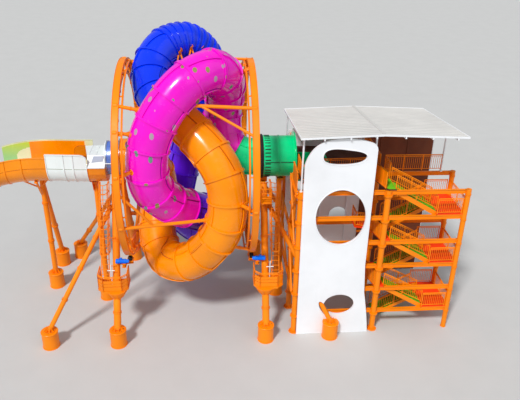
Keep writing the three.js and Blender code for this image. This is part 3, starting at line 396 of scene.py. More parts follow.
def flange(shape, start, end, radius, turn):
    """The two bolted flanges along a run between two seams, with a dark band beside each: the joint, with
    painted shade along the flange's foot.
    """
    steps = max(2, round((end - start) / 0.3))
    for way in (1, -1):
        proud, joint = [], []
        for i in range(steps + 1):
            centre, along = ROUTE.at(start + (end - start) * i / steps)
            side = along.cross(AXIS_Y).normalized() * way
            side = side * math.cos(turn) + (along * along.y - AXIS_Y).normalized() * math.sin(turn)
            other = along.cross(side)
            for rows, section in ((proud, ((-0.02, -0.025), (0.08, -0.025), (0.08, 0.025), (-0.02, 0.025))),
                                  (joint, ((-0.02, 0.02), (0.012, 0.02), (0.012, 0.075), (-0.02, 0.075)))):
                rows.append([capped(centre + side * (radius + rise) + other * across)
                             for rise, across in section])
        shape.skin(proud, caps=True)
        # The joint rows are a dark band beside the flange: painted shade, also marking the joint.
        shape.skin(joint, 1, caps=True)


def slide_section(name, node, start, end, made, spacing):
    """A run of half shells with proud lips at the seams across it and flanges along it."""
    shape = Shape()
    ribbed = spacing < 1
    radius, lip = (TUBE_RADIUS - RIB_BED, RIB) if ribbed else (TUBE_RADIUS - SHELL_BED, LIP)
    count = max(1, round((end - start) / spacing))
    seams = [start + (end - start) * i / count for i in range(count + 1)]
    inside = radius - TUBE_WALL
    stations = [(start + 0.001, inside)]
    for before, after in zip(seams, seams[1:]):
        low, high = before + LIP_WIDTH, after - LIP_WIDTH
        steps = max(1, round((high - low) / STATION_SPACING))
        stations += [(before + GROOVE_WIDTH, radius + lip), (low, radius + lip)]
        stations += [(low + (high - low) * i / steps, radius) for i in range(steps + 1)]
        stations += [(high, radius + lip), (after - GROOVE_WIDTH, radius + lip)]
    inner = max(2, round((end - start) / INNER_SPACING))
    stations += [(end - 0.001, inside)] + [(end - (end - start) * i / inner, inside) for i in range(1, inner)]
    shape.skin([ROUTE.ring(*station) for station in stations], ends=True)
    # A dark ring in the groove between each seam's two lips: painted shade in the recess, also marking the
    # joint.
    for seam in seams[1:-1]:
        shape.skin([ROUTE.ring(seam + d, radius + lip - 0.02) for d in (-0.02, 0.02)], 1)
    if not ribbed:
        for i, (before, after) in enumerate(zip(seams, seams[1:])):
            flange(shape, before + 0.03, after - 0.03, radius, math.radians(FLANGE_TURNS[i % 2]))
    shape.piece(name + "_shell", node, (made, SEAM_AND_SHADE_LOOKS[made]), WHEEL)


def slide():
    slide_section("inlet_end", "inlet_tube", 0.0, GREEN_END, GREEN, GREEN_END)
    start = GREEN_END
    for name, share, made, slot, spacing in SECTIONS:
        end = share * ROUTE.length
        slide_section(name, name, start, end, made, spacing)
        start = end


slide()


# Common steelwork

FOOTING_TOP, FOOTING_RADIUS, FOOTING_STEP = 1.25, 0.575, 0.545
PLATE_THICKNESS = 0.04
POST, MID_RAIL, PICKET, PICKET_FOOT, PICKET_HEAD = 0.035, 0.025, 0.016, 0.12, 0.1


def collar(shape, centre, axis, radius, reach=0.05, height=0.05, use=0):
    """A flanged collar around a round bar."""
    half, bore, rim_radius = height / 2, radius - 0.01, radius + reach
    profile = [(-half, bore), (-half, rim_radius), (half, rim_radius), (half, bore)]
    shape.turned(centre, axis, profile, 28, use, ends=True)


def bolts(shape, centre, axis, radius, count, size=0.022):
    for out in around(axis, count):
        foot = centre + out * radius
        shape.bar(foot, foot + axis * size * 1.6, size, 6, 1)


def base_plate(shape, centre, radius, reach=0.19):
    """A round base plate with gussets around a column's foot, and bolts where it is wide."""
    shape.turned(centre, AXIS_Z, [(0, radius + reach), (PLATE_THICKNESS, radius + reach)], 28)
    top = centre + AXIS_Z * PLATE_THICKNESS
    if reach > 0.1:
        bolts(shape, top, AXIS_Z, radius + reach * 0.6, 8)
    for out in around(AXIS_Z, 8, math.pi / 8):
        corners = [top + out * (radius - 0.03), top + out * (radius + reach - 0.02),
                   top + out * (radius - 0.03) + AXIS_Z * 0.3]
        shape.slab(corners, AXIS_Z.cross(out) * 0.009)


def footed(shape, foot, head, radius, collars=()):
    """A round footing, and the column or raker that stands on it."""
    ground = Vector((*foot, 0))
    wide, step = FOOTING_RADIUS, FOOTING_STEP
    profile = [(0, wide), (0.06, wide), (0.06, step), (1.17, step), (1.17, wide), (1.23, wide),
               (FOOTING_TOP, wide - 0.02)]
    shape.turned(ground, AXIS_Z, profile, 48)
    base = ground + AXIS_Z * FOOTING_TOP
    base_plate(shape, base, radius + 0.03)
    shape.bar(base, head, radius, 32)
    along = (head - base).normalized()
    for share in collars:
        for d in (-0.05, 0.05):
            collar(shape, base.lerp(head, share) + along * d, along, radius)


def saddle(shape, seat, along):
    """A small bracket of crossed plates between an arm and the slide."""
    foot, head = seat - along * 0.3, seat + along * 0.05
    for out in around(along, 2):
        shape.slab([foot - out * 0.09, foot + out * 0.09, head + out * 0.22, head - out * 0.22],
                   along.cross(out) * 0.02)
    shape.turned(seat - along * 0.02, along, [(0, 0.2), (0.06, 0.21)], 20)


def rails(shape, points, height=1.1, spacing=1.5, pickets=0.0):
    """Posts and a top rail along a line of floor points, filled with thin bars or with two rails."""
    for start, end in zip(points, points[1:]):
        length = (end - start).length
        bays = max(1, round(length / spacing))
        for i in range(bays + 1):
            foot = start.lerp(end, i / bays)
            shape.bar(foot, foot + AXIS_Z * height, POST, 8)
        heights = (PICKET_FOOT, height - PICKET_HEAD) if pickets else (height * 0.35, height * 0.68)
        for z in (*heights, height):
            shape.bar(start + AXIS_Z * z, end + AXIS_Z * z, MID_RAIL if z < height else POST, 8)
        count = int(length / pickets) if pickets else 0
        for i in range(1, count):
            foot = start.lerp(end, i / count)
            shape.bar(foot + AXIS_Z * PICKET_FOOT, foot + AXIS_Z * (height - PICKET_HEAD), PICKET, 4)


def fence(shape, floor, places, height, spacing, pickets=0.0):
    """Rails along places on a level floor."""
    rails(shape, [Vector((x, y, floor)) for x, y in places], height, spacing, pickets)


def girder(shape, start, end, width, depth):
    """A beam with a web and two flanges."""
    shape.beam(start, end, width * 0.3, depth - 0.02)
    for way in (1, -1):
        lift = AXIS_Z * way * (depth / 2 - 0.015)
        shape.beam(Vector(start) + lift, Vector(end) + lift, width, 0.03)


# The wheel's rims

RIM_RADIUS, RIM_DEPTH, RIM_WIDTH, RIM_X = 6.71, 0.22, 0.42, 4.13
RIM_MIDDLE, RIM_EDGE = RIM_RADIUS - RIM_DEPTH / 2, 0.03
CHORD_RADIUS, CHORD, GUARD_RADIUS, GUARD, GUARD_X = 5.78, 0.15, 6.49, 0.11, 3.74
BAYS = 16
WEB, GUARD_STRUT, ARM, BRACE = 0.065, 0.05, 0.11, 0.085
# Each arm's angle on its rim, and the point of the slide's centre line that it aims at
ARMS = {
    -1: [(11, (-2.37, 1.16, 5.78)), (-40, (-1.54, -4.24, 4.51)), (-55, (-2.2, -4.51, 3.19)),
         (-78, (-2.48, -4.62, 1.32)), (-109, (2.31, -4.57, -2.42)), (-170, (-2.37, -0.99, -5.72)),
         (145, (-1.16, 4.02, -5.83))],
    1: [(169, (2.37, 1.16, -5.78)), (-42, (-1.1, -4.07, 5.06)), (-99, (2.48, -4.62, -0.99)),
        (-140, (1.54, -4.24, -4.51)), (35, (1.16, 4.02, 5.83)), (-10, (2.37, -0.99, 5.72))],
}
# The arm that a brace meets, the brace's angle on the rim and its share along the arm
BRACES = {-1: (4, -86, 0.3), 1: (1, -58, 0.62)}
# The share of the route at each clamp, and how far it faces up
CLAMPS = ((0.584, 0.42), (0.597, 0.02), (0.608, -0.2))
TIE = 0.075


def on_rim(angle, x, radius):
    turn = math.radians(angle)
    return Vector((x, radius * math.sin(turn), HUB + radius * math.cos(turn)))


def hoop(shape, x, radius, width, depth):
    """A square-edged ring about the wheel's axis, with a small lip at each outer edge."""
    left, right, low, lip = x - width / 2, x + width / 2, radius - RIM_EDGE, RIM_EDGE
    profile = [(left, radius - depth), (right, radius - depth), (right, radius), (right - lip, radius),
               (right - lip, low), (left + lip, low), (left + lip, radius), (left, radius)]
    shape.turned(AXIS_Z * HUB, AXIS_X, profile, 128, ends=True)


def rim(side, word):
    """A rim's band, chord and guard ring, the web between them, and the arms that hold the slide."""
    shape = Shape()
    x, inboard = side * RIM_X, side * GUARD_X
    hoop(shape, x, RIM_RADIUS, RIM_WIDTH, RIM_DEPTH)
    hoop(shape, x, CHORD_RADIUS + CHORD / 2, CHORD, CHORD)
    hoop(shape, inboard, GUARD_RADIUS + GUARD / 2, GUARD, GUARD)
    half = 180 / BAYS
    for angle in (bay * 360 / BAYS for bay in range(BAYS)):
        foot, head = on_rim(angle, x, CHORD_RADIUS), on_rim(angle + half, x, RIM_MIDDLE)
        shape.bar(foot, head, WEB, 12)
        shape.bar(head, on_rim(angle + 2 * half, x, CHORD_RADIUS), WEB, 12)
        shape.bar(head, on_rim(angle + half, inboard, GUARD_RADIUS), GUARD_STRUT, 12)
        shape.bar(foot - AXIS_X * 0.1, foot + AXIS_X * 0.1, 0.12, 12)
    aims = []
    for angle, aim in ARMS[side]:
        head, target = on_rim(angle, x, RIM_MIDDLE), Vector(aim) + AXIS_Z * HUB
        along = (target - head).normalized()
        seat = target - along * (TUBE_RADIUS - 0.02)
        aims.append((head, target))
        shape.bar(head, seat, ARM, 20)
        saddle(shape, seat, along)
        collar(shape, seat - along * 0.47, along, ARM, 0.04)
        shape.bar(head - AXIS_X * 0.12, head + AXIS_X * 0.12, 0.14, 16)
    arm, angle, share = BRACES[side]
    shape.bar(on_rim(angle, x, RIM_MIDDLE), aims[arm][0].lerp(aims[arm][1], share), BRACE, 16)
    shape.piece(f"rim_{word}_steel", f"rim_{word}", body=WHEEL, bevel=0.012)


def clamps():
    """Three brackets on the ribbed stretch, and the beam from the right rim that holds them."""
    shape = Shape()
    feet = []
    for share, up in CLAMPS:
        out = Vector((0.12, -0.97, up)).normalized()
        seat = ROUTE.at(share * ROUTE.length)[0] + out * (TUBE_RADIUS + 0.02)
        feet.append(seat + out * 0.3 - AXIS_Z * 0.75)
        saddle(shape, seat, -out)
        for spread in (-0.22, 0.22):
            shape.bar(feet[-1] + AXIS_X * spread, seat, 0.06, 12)
    shape.bar(feet[-1], feet[0], 0.08)
    shape.bar(feet[0], on_rim(10, RIM_X, RIM_MIDDLE), 0.09)
    shape.piece("ribbed_tube_clamps", body=WHEEL)


def ties():
    """The two tubes between the rims at the back, each with flanged ends and collars between."""
    for word, angle in (("upper", 86), ("lower", 94)):
        shape = Shape()
        start, end = (on_rim(angle, way * (GUARD_X - GUARD / 2 - 0.0005), GUARD_RADIUS) for way in (-1, 1))
        shape.bar(start, end, TIE, 24)
        for i in range(1, 4):
            collar(shape, start.lerp(end, i / 4), AXIS_X, TIE, 0.05, 0.06)
        for place in (start + AXIS_X * 0.03, end - AXIS_X * 0.03):
            collar(shape, place, AXIS_X, TIE, 0.07)
        shape.piece(f"tie_tube_{word}_steel", f"tie_tube_{word}", body=WHEEL)


rim(-1, "left")
rim(1, "right")
clamps()
ties()


# The wheel's supports

LEG_X, LEG_FOOT, LEG_HEAD, LEG_TOP, LEG_RADIUS = 5.06, 5.61, 1.25, 10.1, 0.25
RAKER_RADIUS = 0.165
# The foot and the head of the front and the back rakers
RAKERS = {-1: ((9.62, 5.52), (5.35, 1.9, 8.77)), 1: ((9.62, 6.1), (5.35, 2.1, 8.37))}
ROLLER_ANGLE, ROLLER_RADIUS, ROLLER_HALF = math.radians(30), 0.2, 0.13
AXLE_REACH = RIM_RADIUS + 0.006 + ROLLER_RADIUS
SEAT = HUB - AXLE_REACH * math.cos(ROLLER_ANGLE) - 0.1
ARM_LEVEL, MOTOR_ARM_X, ARM_DEPTH = SEAT - 0.125, 4.5, 0.25
BEARING = ((-0.26, -0.1), (0.26, -0.1), (0.09, 0.09), (-0.09, 0.09))
MOTOR_START, MOTOR_Y = 4.15, -3.95
PLATFORM_Z = 3.9
PLATFORM = [(4.25, 3.5), (6.25, 3.5), (6.25, 4.6), (5.85, 5.0), (4.65, 5.0), (4.25, 4.6)]
PLATFORM_RAIL = ((4.29, 3.54), (4.29, 4.6), (4.65, 4.96), (5.85, 4.96), (6.21, 4.6), (6.21, 3.54))
LADDER_X, LADDER_TOP, RUNG_SPACING, HOOPS, HOOP_SPACING = (5.5, 6.0), 10.4, 0.3, 9, 0.525
HUB_BEAM_Z, WALKWAY_Z = 9.73, 9.35


def leg_y(z):
    return LEG_FOOT + (LEG_HEAD - LEG_FOOT) * (z - FOOTING_TOP) / (LEG_TOP - FOOTING_TOP)


def on_leg(side, end, z):
    return Vector((side * LEG_X, end * leg_y(z), z))


def roller_column(side, end, name):
    """A leaning leg with its bracket, seat and roller."""
    shape = Shape()
    head = on_leg(side, end, LEG_TOP)
    footed(shape, (side * LEG_X, end * LEG_FOOT), head, LEG_RADIUS, (0.12, 0.32, 0.62, 0.86))
    along = (head - on_leg(side, end, 1)).normalized()
    collar(shape, head - along * 0.03, along, LEG_RADIUS, 0.06, 0.06)
    bolts(shape, head, along, LEG_RADIUS + 0.03, 10, 0.016)
    axle = Vector((side * RIM_X, end * AXLE_REACH * math.sin(ROLLER_ANGLE), SEAT + 0.1))
    girder(shape, (axle.x - side * 0.2, axle.y, ARM_LEVEL), on_leg(side, end, ARM_LEVEL), 0.22, ARM_DEPTH)
    girder(shape, (side * MOTOR_ARM_X, axle.y, ARM_LEVEL), (side * MOTOR_ARM_X, end * 4.1, ARM_LEVEL), 0.26,
           ARM_DEPTH)
    shape.block((axle.x, axle.y, SEAT - 0.015), (0.4, 0.6, 0.03))
    for x in (-0.16, 0.16):
        shape.slab([axle + Vector((x, y, z)) for y, z in BEARING], AXIS_X * 0.01)
    half, inner, outer = ROLLER_HALF, 0.06, 0.17
    shape.turned(axle, AXIS_X, [(-half, inner), (-half, outer), (-half + 0.03, ROLLER_RADIUS),
                                (half - 0.03, ROLLER_RADIUS), (half, outer), (half, inner)], 40, 2)
    shape.bar(axle - AXIS_X * 0.2, axle + AXIS_X * 0.2, 0.05, 20, 1)
    shape.piece(name + "_steel", name, (STEEL, BOLT, BLACK))


def raker(side, end, name):
    """A raker with a plated head on the leg."""
    shape = Shape()
    (foot_x, foot_y), (x, y, z) = RAKERS[end]
    head = Vector((side * x, end * y, z))
    footed(shape, (side * foot_x, end * foot_y), head, RAKER_RADIUS, (0.25, 0.5, 0.75))
    along = (head - Vector((side * foot_x, end * foot_y, FOOTING_TOP))).normalized()
    collar(shape, head - along * 0.2, along, RAKER_RADIUS, 0.07, 0.04)
    low, high = head - along * 0.75, head + along * 0.1
    for out in around(along, 2):
        shape.slab([low - out * 0.12, low + out * 0.12, high + out * 0.3, high - out * 0.3],
                   along.cross(out) * 0.012)
    shape.piece(name + "_steel", name, STEELWORK)


def drive_motor(side, word):
    """A geared motor with a finned case, an end cover and a terminal box, on a stand."""
    shape = Shape()
    start = Vector((side * MOTOR_START, MOTOR_Y, 5.65))
    fins = [(0.3 + i * 0.02, 0.17 if i % 2 else 0.145) for i in range(20)]
    profile = [(0, 0.05), (0.02, 0.12), (0.2, 0.13), (0.22, 0.165), (0.28, 0.165), *fins, (0.72, 0.165),
               (0.76, 0.17), (0.86, 0.17), (0.9, 0.13)]
    shape.turned(start, AXIS_X * side, profile, 40)
    shape.block((start.x + side * 0.55, MOTOR_Y, 5.84), (0.18, 0.18, 0.1))
    foot = Vector((side * MOTOR_ARM_X, MOTOR_Y, 0))
    shape.box(foot + Vector((-0.11, -0.09, SEAT)), foot + Vector((0.11, 0.09, 5.6)), 1)
    shape.piece(f"drive_motor_{word}_case", f"drive_motor_{word}", (MOTOR, STEEL), bevel=0.008)


def service_platform(side, word):
    """A platform around the leg with a tapered, ribbed underside, rails and a white pole with a crossbar."""
    shape = Shape()
    shape.plate(PLATFORM, [], lambda x, y, d: (side * x, -y, PLATFORM_Z - d), 0.05)
    ring = [Vector((side * x, -y, PLATFORM_Z - 0.02)) for x, y in PLATFORM]
    for start, end in zip(ring, ring[1:] + ring[:1]):
        shape.beam(start, end, 0.03, 0.14)
    middle = Vector((side * LEG_X, -leg_y(3.5), 3.2))
    shape.turned(middle, AXIS_Z, [(0, 0.34), (0.02, 0.4), (0.6, 0.74), (0.65, 0.74)], 12)
    for out in around(AXIS_Z, 12):
        shape.bar(middle + out * 0.4, middle + out * 0.74 + AXIS_Z * 0.6, 0.02, 6)
    floor_line = [Vector((side * x, -y, PLATFORM_Z)) for x, y in PLATFORM_RAIL]
    rails(shape, floor_line, 1.15, 0.9, 0.16)
    for middle_z, height in ((0.195, 0.33), (0.5, 0.2), (0.74, 0.2)):
        lift = AXIS_Z * middle_z
        for start, end in zip(floor_line, floor_line[1:]):
            shape.beam(start + lift, end + lift, 0.02, height)
    pole = Vector((side * 5.35, -4.3, PLATFORM_Z))
    cross = pole + AXIS_Z * 1.25
    shape.bar(pole, pole + AXIS_Z * 1.7, 0.035, 12, 1)
    shape.bar(cross - AXIS_X * 0.25, cross + AXIS_X * 0.25, 0.03, 10, 1)
    shape.piece(f"service_platform_{word}_steel", f"service_platform_{word}", (STEEL, WHITE_SHELL))


def ladder(side, word):
    """A ladder parallel to the leg, with a cage of hoops and bars."""
    shape = Shape()
    near, far = LADDER_X

    def at(x, z, ahead=0.35):
        return Vector((side * x, -(leg_y(z) + ahead), z))

    for x in LADDER_X:
        shape.bar(at(x, PLATFORM_Z), at(x, LADDER_TOP), 0.034, 10)
    for i in range(1, int((LADDER_TOP - PLATFORM_Z) / RUNG_SPACING)):
        z = PLATFORM_Z + i * RUNG_SPACING
        shape.bar(at(near, z), at(far, z), 0.022, 8)
    turns = [math.pi * i / 8 for i in range(9)]
    hoops = [6.2 + HOOP_SPACING * i for i in range(HOOPS)]
    arcs = [[at(5.75 - 0.34 * math.cos(t), z, 0.35 + 0.62 * math.sin(t)) for t in turns] for z in hoops]
    for arc in arcs:
        shape.line([at(near, arc[0].z), *arc, at(far, arc[0].z)], 0.028)
    for i in range(0, len(turns), 2):
        shape.line([arc[i] for arc in arcs], 0.024)
    for z in (5.3, 7.0, 8.8):
        shape.beam(on_leg(side, -1, z), at(LEG_X, z), 0.04, 0.04)
        shape.beam(at(LEG_X, z), at(near, z), 0.04, 0.04)
    shape.piece(f"ladder_{word}_steel", f"ladder_{word}")


def hub_trim(side, word):
    """Stiffeners and a bolted saddle on the hub beam, and the walkway in front of the right leg's head."""
    shape = Shape()
    x = side * LEG_X
    for y in (-0.9, -0.45, 0.45, 0.9):
        shape.block((x, y, HUB_BEAM_Z), (0.3, 0.024, 0.32))
    for way in (1, -1):
        shape.block((x, 0, HUB_BEAM_Z + way * 0.17), (0.34, 2.3, 0.03))
    if side > 0:
        shape.box((4.72, -3.03, WALKWAY_Z - 0.05), (5.46, -1.95, WALKWAY_Z))
        shape.beam((4.9, -1.6, 9.2), (4.9, -3.0, 9.28), 0.08, 0.1)
        fence(shape, WALKWAY_Z, ((4.75, -1.95), (4.75, -3.0), (5.45, -3.0)), 1.05, 0.7)
    shape.piece(f"hub_beam_{word}_trim")


for side, word in ((-1, "left"), (1, "right")):
    for end, place in ((-1, "front"), (1, "back")):
        roller_column(side, end, f"roller_column_{place}_{word}")
        raker(side, end, f"raker_{place}_{word}")
    drive_motor(side, word)
    service_platform(side, word)
    ladder(side, word)
    hub_trim(side, word)


# The hub's rings and drum. Their profiles are pairs of a distance from the wheel's middle and a radius.

CENTRE = AXIS_Z * HUB
SLEW_FACE, SLEW_END, BORE, HUB_SIDES = 4.656, 5.02, 1.29, 96
RIGHT_RING = [(SLEW_FACE, BORE), (SLEW_FACE, 1.5), (4.68, 1.54), (4.74, 1.54), (4.76, 1.5), (4.92, 1.5),
              (4.94, 1.54), (5.0, 1.54), (SLEW_END, 1.52), (SLEW_END, BORE)]
DRUM_RADIUS = 1.43
DRUM = [(SLEW_END + GAP, BORE), (SLEW_END + GAP, 1.46), (5.1, 1.46), (5.1, DRUM_RADIUS), (6.1, DRUM_RADIUS),
        (6.11, 1.47), (6.17, 1.47), (6.18, DRUM_RADIUS), (7.16, DRUM_RADIUS), (7.17, 1.7), (7.24, 1.7),
        (7.24, BORE)]
LEFT_RING = [(SLEW_FACE, 1.1), (SLEW_FACE, 1.3), (4.67, 1.32), (4.72, 1.32), (4.731, 1.3), (4.731, 1.14),
             (4.78, 1.14), (4.79, 1.18), (4.86, 1.18), (4.87, 1.13), (5.5, 1.13), (5.51, 1.18), (5.61, 1.18),
             (5.61, 1.1)]


def slewing_ring_right():
    """The black ring with its two rows of bolts and a belt of bars."""
    shape = Shape()
    shape.turned(CENTRE, AXIS_X, RIGHT_RING, HUB_SIDES, ends=True)
    for x in (SLEW_FACE - 0.03, SLEW_END):
        bolts(shape, CENTRE + AXIS_X * x, AXIS_X, 1.43, 48)
    for out in around(AXIS_X, 72):
        foot = CENTRE + AXIS_X * 4.78 + out * 1.5
        shape.bar(foot, foot + AXIS_X * 0.12, 0.022, 6)
    shape.piece("slewing_ring_right_bearing", "slewing_ring_right", (BLACK, BOLT))


def slewing_ring_left():
    """The bright ring with its bolts and a ribbed neck."""
    shape = Shape()
    shape.turned(CENTRE, -AXIS_X, LEFT_RING, HUB_SIDES, ends=True)
    bolts(shape, CENTRE - AXIS_X * 4.731, -AXIS_X, 1.24, 40, 0.02)
    for i in range(12):
        collar(shape, CENTRE - AXIS_X * (4.93 + i * 0.05), AXIS_X, 1.13, 0.012, 0.02, 2)
    shape.piece("slewing_ring_left_bearing", "slewing_ring_left", (CHROME, BOLT, MOTOR))


def inlet_drum():
    """The drum's shell with a belt of dark bars and one dark seam."""
    shape = Shape()
    shape.turned(CENTRE, AXIS_X, DRUM, HUB_SIDES, ends=True)
    bolts(shape, CENTRE + AXIS_X * 5.1, AXIS_X, 1.445, 36, 0.02)
    for out in around(AXIS_X, 36):
        foot = CENTRE + AXIS_X * 5.14 + out * 1.432
        shape.bar(foot, foot + AXIS_X * 0.36, 0.037, 8, 2)
    shape.bar((5.12, -1.445, HUB + 0.1), (7.16, -1.445, HUB + 0.1), 0.02, 10, 2)
    shape.piece("inlet_drum_shell", "inlet_drum", (GREEN, BOLT, BLACK))


def pedestal(name, x, height, seat, spread, corners):
    """A column with cheek plates and a head beam, whose seat is its half length, level, width and depth."""
    shape = Shape()
    footed(shape, (x, 0), Vector((x, 0, height)), 0.2, (0.3, 0.7))
    half, seat_z, width, depth = seat
    shape.beam((x, -half, seat_z), (x, half, seat_z), width, depth)
    for way in (1, -1):
        for plate_x in (x - spread, x + spread):
            shape.slab([Vector((plate_x, way * y, z)) for y, z in corners], AXIS_X * 0.012)
    shape.piece(name + "_steel", name, STEELWORK)


slewing_ring_right()
inlet_drum()
slewing_ring_left()
pedestal("drum_column", 6.3, 10.05, (0.5, 9.98, 0.46, 0.1), 0.22, ((0.1, 9.5), (0.5, 9.93), (0.5, 10.22),
                                                                   (0.25, 10.085)))


# The outlet trough. Its distances run from the wheel's middle to the left.

TROUGH_RADIUS, TROUGH_CENTRE, TROUGH_TOP, TROUGH_WALL = 1.43, 11.33, 12.32, 0.04
TROUGH_START, TROUGH_SEAM, TROUGH_END = 6.776, 9.6, 13.6
SWAY, DROP, NEAR_LIP_DROP = 1.7, 1.1, 0.25
ARC_STEPS, WALL_STEPS, KEEL_STEPS, FLANGE = 20, 16, 12, 0.045
LIP_FACES = range(21, 26)
COARSE, FINE = 0.25, 0.06
LIME_START, PATCH_LENGTH, PATCH_HEIGHT = 11.5, 1.07, 0.47
TROUGH_LOOKS = (WHITE_SHELL, TUBE_ORANGE, CREAM, LIME, JOINT, SEAM_AND_SHADE_LOOKS[TUBE_ORANGE])
WHITE, ORANGE, PALE, GREENISH = range(4)
JOINTS = {WHITE: 4, ORANGE: 5}
KEEL = ((-0.03, -1.5), (0.03, -1.5), (0.03, -1.4), (-0.03, -1.4))
SIDE_JOINT = ((-1.42, -0.03), (-1.437, -0.03), (-1.437, -0.06), (-1.42, -0.06))


def on_trough(distance, y, z):
    """A point of the trough, which sways to the back and falls along its run."""
    share = min(max((distance - TROUGH_START) / (TROUGH_END - TROUGH_START), 0), 1)
    ease = share * share * (3 - 2 * share)
    return Vector((-distance, y + SWAY * ease, TROUGH_CENTRE + z - DROP * share * share))


def half_section(way, top, grow):
    """The section of one half shell from the bottom seam to its rolled lip, as an outer and an inner line."""
    outside, inside, low = TROUGH_RADIUS + grow, TROUGH_RADIUS - TROUGH_WALL, math.radians(0.4)
    angles = [low + (math.pi / 2 - low) * i / ARC_STEPS for i in range(ARC_STEPS + 1)]
    outer, inner = ([(way * r * math.sin(t), -r * math.cos(t)) for t in angles] for r in (outside, inside))
    rolled = outside + 0.035
    lip = [(way * y, top - drop) for y, drop in ((outside, 0.07), (rolled, 0.06), (rolled, 0),
                                                 (inside - 0.02, 0), (inside, 0.03))]
    wall = [(way * inside, (top - 0.03) * i / WALL_STEPS) for i in range(WALL_STEPS - 1, 0, -1)]
    return outer + lip + wall + inner[::-1]


def half_trough(shape, way, start, end, top, outer_use, inner_use):
    """One half shell with a proud flange at both ends. The near one is rounded down, the far lip is pale."""
    count = round((end - start) / (FINE if inner_use == GREENISH else COARSE))
    stations = [(start, FLANGE), (start + 0.05, FLANGE), (start + 0.055, 0)]
    stations += [(start + (end - start) * i / count, 0) for i in range(1, count)]
    stations += [(end - 0.055, 0), (end - 0.05, FLANGE), (end, FLANGE)]
    rows = []
    for d, grow in stations:
        rounded = 0.22 * max(0, 1 - (d - TROUGH_START) / 0.4) ** 2 if way < 0 else 0
        rows.append([on_trough(d, y, z) for y, z in half_section(way, top - rounded, grow)])
    first, width = len(shape.faces), len(rows[0])
    shape.skin(rows, outer_use, caps=True)
    for i in range(first, len(shape.faces) - 2):
        place = (i - first) % width
        if way > 0 and place in LIP_FACES:
            shape.looks[i] = PALE
        elif place >= LIP_FACES[-1]:
            shape.looks[i] = inner_use


def pale_patch(shape):
    """Turns the lime faces near the orange stretch's floor pale, up to a round edge."""
    for i, face in enumerate(shape.faces):
        if shape.looks[i] == GREENISH:
            centre = sum((shape.points[k] for k in face), Vector()) / len(face)
            rise = min(max((centre.z - on_trough(-centre.x, 0, 0).z) / PATCH_HEIGHT, 0), 1)
            if -centre.x < LIME_START + PATCH_LENGTH * math.sqrt(1 - rise * rise):
                shape.looks[i] = PALE


def trough():
    """Two stretches of half shells, given by side, ends, height of the lip, and outer and inner looks."""
    top = TROUGH_TOP - TROUGH_CENTRE
    low, start, seam = top - NEAR_LIP_DROP, TROUGH_START + GAP, TROUGH_SEAM + GAP
    upper = [(-1, start, 7.7, top, WHITE, PALE), (-1, 7.7, 8.35, top, WHITE, PALE),
             (-1, 8.35, TROUGH_SEAM, top, WHITE, PALE), (1, start, 7.35, top, PALE, PALE),
             (1, 7.35, TROUGH_SEAM, top, ORANGE, ORANGE)]
    lower = [(-1, seam, 11.45, low, ORANGE, ORANGE), (-1, 11.45, 12.7, low, ORANGE, ORANGE),
             (-1, 12.7, TROUGH_END, low, ORANGE, ORANGE), (1, seam, LIME_START, top, ORANGE, ORANGE),
             (1, LIME_START, TROUGH_END, top, GREENISH, GREENISH)]
    for name, halves, use, slot in (("trough_upper", upper, WHITE, "shell_white"),
                                    ("trough_lower", lower, ORANGE, "tube_orange")):
        shape = Shape()
        for half in halves:
            half_trough(shape, *half)
        pale_patch(shape)
        start, end = halves[0][1], halves[-1][2]
        stations = [start + (end - start) * i / KEEL_STEPS for i in range(KEEL_STEPS + 1)]
        for section, section_use in ((KEEL, use), (SIDE_JOINT, JOINTS[use])):
            shape.skin([[on_trough(d, y, z) for y, z in section] for d in stations], section_use, caps=True)
        shape.piece(name + "_shell", name, TROUGH_LOOKS)


BOX_LEFT, BOX_RIGHT, BOX_EAVE, BOX_TOP, BOX_HALF = -6.776, -5.62, 11.4, 12.08, 0.87
BOX_WINDOW = [(-6.5, 0.36), (-5.74, 0.44), (-5.7, 0.8), (-6.36, 0.8)]
CHEEK_LEFT, CHEEK_MIDDLE, CHEEK_RIGHT, CHEEK_ROUND, CHEEK_WALL = -8.0, -7.2, -6.78, 0.45, 0.03


